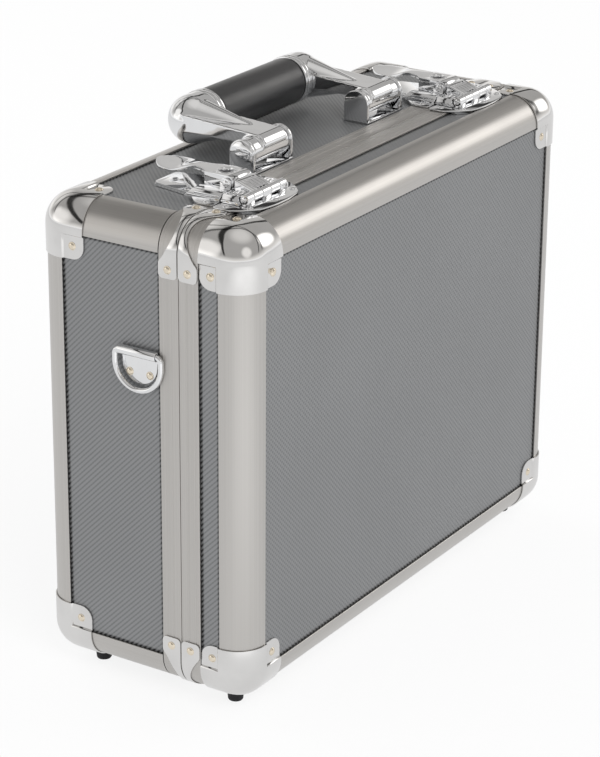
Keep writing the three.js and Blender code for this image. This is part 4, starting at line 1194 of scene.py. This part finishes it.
def lever_tail():
    """The neck and spade, extruded row by row from an edge and then given their wall."""
    form = bmesh.new()
    start, half, _ = TAIL_ROWS[0]
    places = [half * (2 * i / TAIL_COLUMNS - 1) for i in range(TAIL_COLUMNS + 1)]
    verts = [form.verts.new((x, start, LEVER_TOP)) for x in places]
    row = [form.edges.new(pair) for pair in zip(verts, verts[1:])]
    for place, width, rise in TAIL_ROWS[1:]:
        row = pulled(form, row, (0, place - start, 0))
        bmesh.ops.scale(form, vec=(width / half, 1, 1), verts=points_of(row))
        for vert in points_of(row):
            vert.co.z = LEVER_TOP + rise - TAIL_CROWN * (vert.co.x / max(width, 5)) ** 2
        start = place
        half = width
    face_up(form)
    return thickened(form, TAIL_WALL, 0.6, 3, 50)


def latch_lever():
    body = side_prism(LEVER_OUTLINE, -LEVER_HALF, LEVER_HALF)
    rounded(body, "X", lambda m: m.y < 1, LEVER_NOSE, 12)
    body = carved(body, side_prism(HOLLOW_OUTLINE, -HOLLOW_HALF, HOLLOW_HALF))
    body = carved(body, put(lathed(LOCK_BORE, 40), 0, LOCK_S, 0))
    body = carved(body, rod(PIN_BORE, -14, 14, PIN_S, PIN_H, 20, BORE_EDGE))
    eased(body, 0.35, 2, 45)
    sleeve = bmesh.new()
    bmesh.ops.create_circle(sleeve, radius=SLEEVE_BORE, segments=48)
    rim = sleeve.edges[:]
    rim_radius = SLEEVE_BORE
    for radius, step in SLEEVE_STEPS:
        rim = pulled(sleeve, rim, (0, 0, step))
        size = radius / rim_radius
        bmesh.ops.scale(sleeve, vec=(size, size, 1), verts=points_of(rim))
        rim_radius = radius
    closed_up(sleeve)
    put(sleeve, 0, LOCK_S, SLEEVE_LOW)
    return joined(body, lever_tail(), sleeve)


latch_pair(latch_lever, "latch_lever", chrome, "latch_lever_{side}", "lever")


# Each lock plug is a turned barrel in its lever, darkened, with a slot for a flat key.
PLUG_OUTLINE = ((0, 5.5), (4.4, 5.5), (4.4, 12.5), (4.1, 13.0), (2.9, 13.1), (2.7, 12.85), (0, 12.85))
KEY_OUTLINE = oblong(-0.65, 0.65, 9.7, 15.1)
KEY_LIMITS = (10.1, 16.0)


def lock_plug():
    plug = put(lathed(PLUG_OUTLINE, 48), 0, LOCK_S, 0)
    return carved(plug, level_prism(KEY_OUTLINE, *KEY_LIMITS))


dark_steel = polished("lock_barrel", (0.16, 0.16, 0.17, 1), 0.24, 0.05)
latch_pair(lock_plug, "lock_plug", dark_steel, "lock_plug_{side}", "plug")


# The lid's half of each latch is a plate, riveted on, under three knuckles of pressed steel that
# hold the hasp's pin.
HASP_S = -16.5
HASP_H = 5.2
HASP_PIN = 1.4
HASP_PIN_HALF = 18.0
HASP_HEAD_X = 22.5
HASP_KNUCKLE = 3.3
KNUCKLE_FOOT = oblong(HASP_S - HASP_KNUCKLE, HASP_S + 1.6, 1.0, HASP_H)
LID_KNUCKLES = ((-4.6, 4.6), (15.1, 22.6), (-22.6, -15.1))
LID_RIVETS = ((30.5, -8.0), (-30.5, -8.0), (25.0, -22.5), (-25.0, -22.5), (0, -26.0))
LID_PLATE_OUTLINE = (
    (36, -0.6), (-36, -0.6), (-36, -13), (-31, -21), (-22, -29), (-8, -31.2), (8, -31.2), (22, -29),
    (31, -21), (36, -13),
)
LID_PAD_OUTLINE = ((30.5, -16.2), (-30.5, -16.2), (-30.5, -21.0), (-22, -28.6), (22, -28.6), (30.5, -21.0))
HASP_PIN_HEAD = ((0, 0), (2.0, 0), (2.0, 0.3), (1.3, 0.7), (0, 0.85))


def lid_latch_plate():
    plate = level_prism(LID_PLATE_OUTLINE, PLATE_LOW, PLATE_TOP)
    rounded(plate, "Z", lambda m: abs(m.x) > 30 and m.y > -14, 2.2, 5)
    rounded(plate, "Z", lambda m: m.y < -20, 3.0, 6)
    eased(plate, 0.35)
    parts = [plate, level_prism(LID_PAD_OUTLINE, PANEL_LOW, PLATE_LOW + PAD_LAP)]
    for low, high in LID_KNUCKLES:
        parts.append(eased(side_prism(KNUCKLE_FOOT, low, high), 0.3))
        parts.append(rod(HASP_KNUCKLE, low, high, HASP_S, HASP_H, 32, 0.45))
    parts.append(rod(HASP_PIN, -HASP_PIN_HALF, HASP_PIN_HALF, HASP_S, HASP_H, 20))
    parts.append(twinned(lathed_across(HASP_PIN_HEAD, 20, HASP_HEAD_X, HASP_S, HASP_H)))
    return joined(*parts, *pan_rivets(LID_RIVETS))


latch_pair(lid_latch_plate, "lid_latch_plate", chrome, "lid", "latch_plate")


# Each hasp is a casting that turns on the pin of the lid's plate. Its stepped wings follow the
# cheeks of the latch base, and its fluted ridge ends under the lever's nose.
HASP_BORE = 3.9
WING_OUTLINE = ((0, 1.9), (25.6, 1.9), (25.6, 3.6), (24.4, 3.9), (22.8, 6.8), (0, 6.8))
RIDGE_OUTLINE = ((-16.0, 1.9), (-0.6, 1.9), (-0.6, 12.5), (-3.4, 12.5), (-16.0, 8.2))
FLUTE_OUTLINE = ((-15.4, 8.1), (-4.4, 11.9), (-4.6, 12.5), (-15.6, 8.8))
WING_LIMITS = (-16.0, -0.6)
RIDGE_HALF = 10.5
SIDE_KNUCKLE = (4.9, 14.8)
WING_RIB_OUTLINE = ((-14.2, 6.4), (-13.0, 6.4), (-13.2, 7.35), (-14.0, 7.35))
WING_RIB_SPACING = 2.9
WING_RIB_LIMITS = (12.2, 21.6)
FLUTE_SPACING = 3.6
FLUTE_HALF = 0.55


def hasp():
    inner, outer = SIDE_KNUCKLE
    wing = cross_prism(WING_OUTLINE, *WING_LIMITS)
    wings = twinned(carved(wing, rod(HASP_BORE, outer, 30.0, HASP_S, HASP_H, 32, BORE_EDGE)))
    bmesh.ops.remove_doubles(wings, verts=wings.verts, dist=0.001)
    inside = [f for f in wings.faces if all(abs(v.co.x) < 0.001 for v in f.verts)]
    bmesh.ops.delete(wings, geom=inside, context="FACES")
    ridge = side_prism(RIDGE_OUTLINE, -RIDGE_HALF, RIDGE_HALF)
    rounded(ridge, "X", lambda m: m.z > 11, 1.3, 5)
    rounded(ridge, None, lambda m: m.z > 8.5 and abs(m.x) > 9, 1.1, 4)
    middle = rod(HASP_BORE, -inner, inner, HASP_S, HASP_H, 32, BORE_EDGE)
    ridge = carved(ridge, middle.copy())
    wings = carved(wings, middle)
    parts = [eased(wings, 0.3, 2, 28), eased(ridge, 0.3, 2, 28)]
    parts.append(twinned(rod(HASP_KNUCKLE, inner, outer, HASP_S, HASP_H, 32, 0.45)))
    for count in range(4):
        outline = [(s + WING_RIB_SPACING * count, h) for s, h in WING_RIB_OUTLINE]
        parts.append(twinned(eased(side_prism(outline, *WING_RIB_LIMITS), 0.2, 2, 30)))
    for count in range(-2, 3):
        x = count * FLUTE_SPACING
        parts.append(eased(side_prism(FLUTE_OUTLINE, x - FLUTE_HALF, x + FLUTE_HALF), 0.22, 2, 30))
    return joined(*parts)


latch_pair(hasp, "hasp", chrome, "hasp_{side}", "hasp")


# Two butt hinges join the halves under the seam. Their leaves are screwed to the closing frames,
# and five knuckles share one pin.
HINGE_X = 120.0
HINGE_Z = 6.1
HINGE_HALF = 33.0
HINGE_KNUCKLE = 2.8
KNUCKLE_GAP = 0.4
KNUCKLE_LENGTH = (2 * HINGE_HALF - 4 * KNUCKLE_GAP) / 5
LEAF_TOP = BOTTOM - 0.3 - HINGE_Z
LEAF_LIMITS = (3.2, 13.0)
LEAF_WALL = 1.0
WRAP_LIMITS = (0.6, 4.2)
LEAF_SCREWS = (-24.0, 0.0, 24.0)
LEAF_SCREW_Y = 8.8
TIP_OUTLINE = ((0, 0), (2.1, 0), (2.1, 0.25), (1.4, 0.65), (0, 0.8))
SCREW_OUTLINE = ((0, 0.28), (0.9, 0.28), (1.2, 0.62), (2.5, 0.45), (2.9, 0.1), (2.9, 0.0), (0, 0.0))


def hinge_leaf(first, has_pin):
    """A leaf with every second knuckle, drawn for the base, with the origin on the pin."""
    leaf = level_prism(oblong(-HINGE_HALF, HINGE_HALF, *LEAF_LIMITS), LEAF_TOP - LEAF_WALL, LEAF_TOP)
    rounded(leaf, "Z", lambda m: m.y > 12, 2.5, 5)
    parts = [eased(leaf, 0.2)]
    for count in range(first, 5, 2):
        low = -HINGE_HALF + count * (KNUCKLE_LENGTH + KNUCKLE_GAP)
        high = low + KNUCKLE_LENGTH
        parts.append(rod(HINGE_KNUCKLE, low, high, 0, 0, 24, 0.3))
        parts.append(level_prism(oblong(low, high, *WRAP_LIMITS), LEAF_TOP - 1.2, LEAF_TOP - 0.1))
    if has_pin:
        parts.append(rod(1.4, -HINGE_HALF + 3, HINGE_HALF - 3, 0, 0, 20))
        for end in (-1, 1):
            tip = turn(lathed(TIP_OUTLINE, 20), "Y", 90 * end)
            parts.append(put(tip, end * (HINGE_HALF - 0.05)))
    for x in LEAF_SCREWS:
        screw = turn(lathed(SCREW_OUTLINE, 24), "X", 180)
        parts.append(put(screw, x, LEAF_SCREW_Y, LEAF_TOP - 0.98))
    return joined(*parts)


for side, x_sign in SIDES:
    for body, first, away in (("base", 0, 1), ("lid", 1, -1)):
        node = f"hinge_{body}_leaf_{side}"
        form = put(hinge_leaf(first, body == "base"), flip=(1, away, 1))
        put(form, x_sign * HINGE_X, SEAM, HINGE_Z)
        finished(form, node + "_metal", profile_finish[0], body, "hinge", node)


# Each half is lined with a tray of foam under dark cloth. The cloth is drawn over a rounded rim,
# and its floor is pressed into square quilted pads.
LINING = 4.0
TRAY_ROUND = 2.0
RIM_ROUND = 1.2
PAD_MARGIN = 6
PAD_LEAST = 20
PAD_STEPS = ((0.5, -0.5), (1.6, 1.3), (4.0, 1.0), (7.0, 0.5))
# Each tray has its distance inside the shell, its open end and its closed end
TRAYS = (
    ("base", 10.3, base_face + 1.7, BACK - 5.3),
    ("lid", 13.3, lid_face - 1.7, FRONT + 5.3),
)


def tray_floor(tray, closed_end, toward_mouth):
    """The faces of the tray's floor that are seen from its mouth."""
    return [
        f for f in tray.faces if f.normal.y * toward_mouth > 0.99
        and abs(abs(f.calc_center_median().y - closed_end) - LINING) < 0.1
    ]


cloth, cloth_shader, cloth_place = new_finish(
    "lining_cloth", Sheen_Weight=0.25, Sheen_Roughness=0.5, Specular_IOR_Level=0.2,
)
warp, weft = [(cloth_place.part(axis) * 4200).math("SINE") for axis in (0, 2)]
weave = warp * weft * 0.5 + 0.5
nap = cloth_place.noise(60.0, 5.0)
cloth_colour = (weave * 0.5 + nap * 0.5).blend((0.012, 0.012, 0.014, 1), (0.045, 0.045, 0.050, 1))
cloth_bump = (weave + nap * 0.6).bump(0.35, 0.0004)
feed(cloth_shader, Base_Color=cloth_colour, Roughness=nap * 0.15 + 0.8, Normal=cloth_bump)
for body, inset, open_end, closed_end in TRAYS:
    half_long = HALF_LENGTH - inset
    half_high = (TOP - BOTTOM) / 2 - inset
    toward_mouth = 1 if open_end > closed_end else -1
    tray = bmesh.new()
    bmesh.ops.create_cube(tray, size=1)
    size = (2 * half_long, abs(closed_end - open_end), 2 * half_high)
    bmesh.ops.scale(tray, vec=size, verts=tray.verts)
    put(tray, 0, (open_end + closed_end) / 2, MIDDLE)
    mouth = [f for f in tray.faces if abs(f.calc_center_median().y - open_end) < 0.01]
    bmesh.ops.delete(tray, geom=mouth, context="FACES")
    rounded(tray, "Y", lambda m: True, EDGE_RADIUS - inset, 8)
    floor_edges = [e for e in tray.edges if all(abs(v.co.y - closed_end) < 0.01 for v in e.verts)]
    bevelled(tray, floor_edges, TRAY_ROUND, 3)
    thickened(tray, LINING, RIM_ROUND, 3, 50)
    for axis, half, cells in ((0, half_long, 7), (2, half_high, 5)):
        half -= LINING + PAD_MARGIN
        for count in range(cells + 1):
            cut = Vector((0, closed_end, MIDDLE)) + along(axis, half * (2 * count / cells - 1))
            faces = tray_floor(tray, closed_end, toward_mouth)
            edges = {e for f in faces for e in f.edges}
            verts = {v for f in faces for v in f.verts}
            around = list(verts) + list(edges) + faces
            bmesh.ops.bisect_plane(tray, geom=around, plane_co=cut, plane_no=along(axis, 1))
    pads = [
        f for f in tray_floor(tray, closed_end, toward_mouth)
        if len(f.verts) == 4 and min(e.calc_length() for e in f.edges) > PAD_LEAST
    ]
    for thickness, rise in PAD_STEPS:
        bmesh.ops.inset_individual(tray, faces=pads, thickness=thickness, depth=rise, use_even_offset=True)
    lining = finished(tray, f"{body}_lining_cloth", cloth, body, "lining", f"{body}_lining")
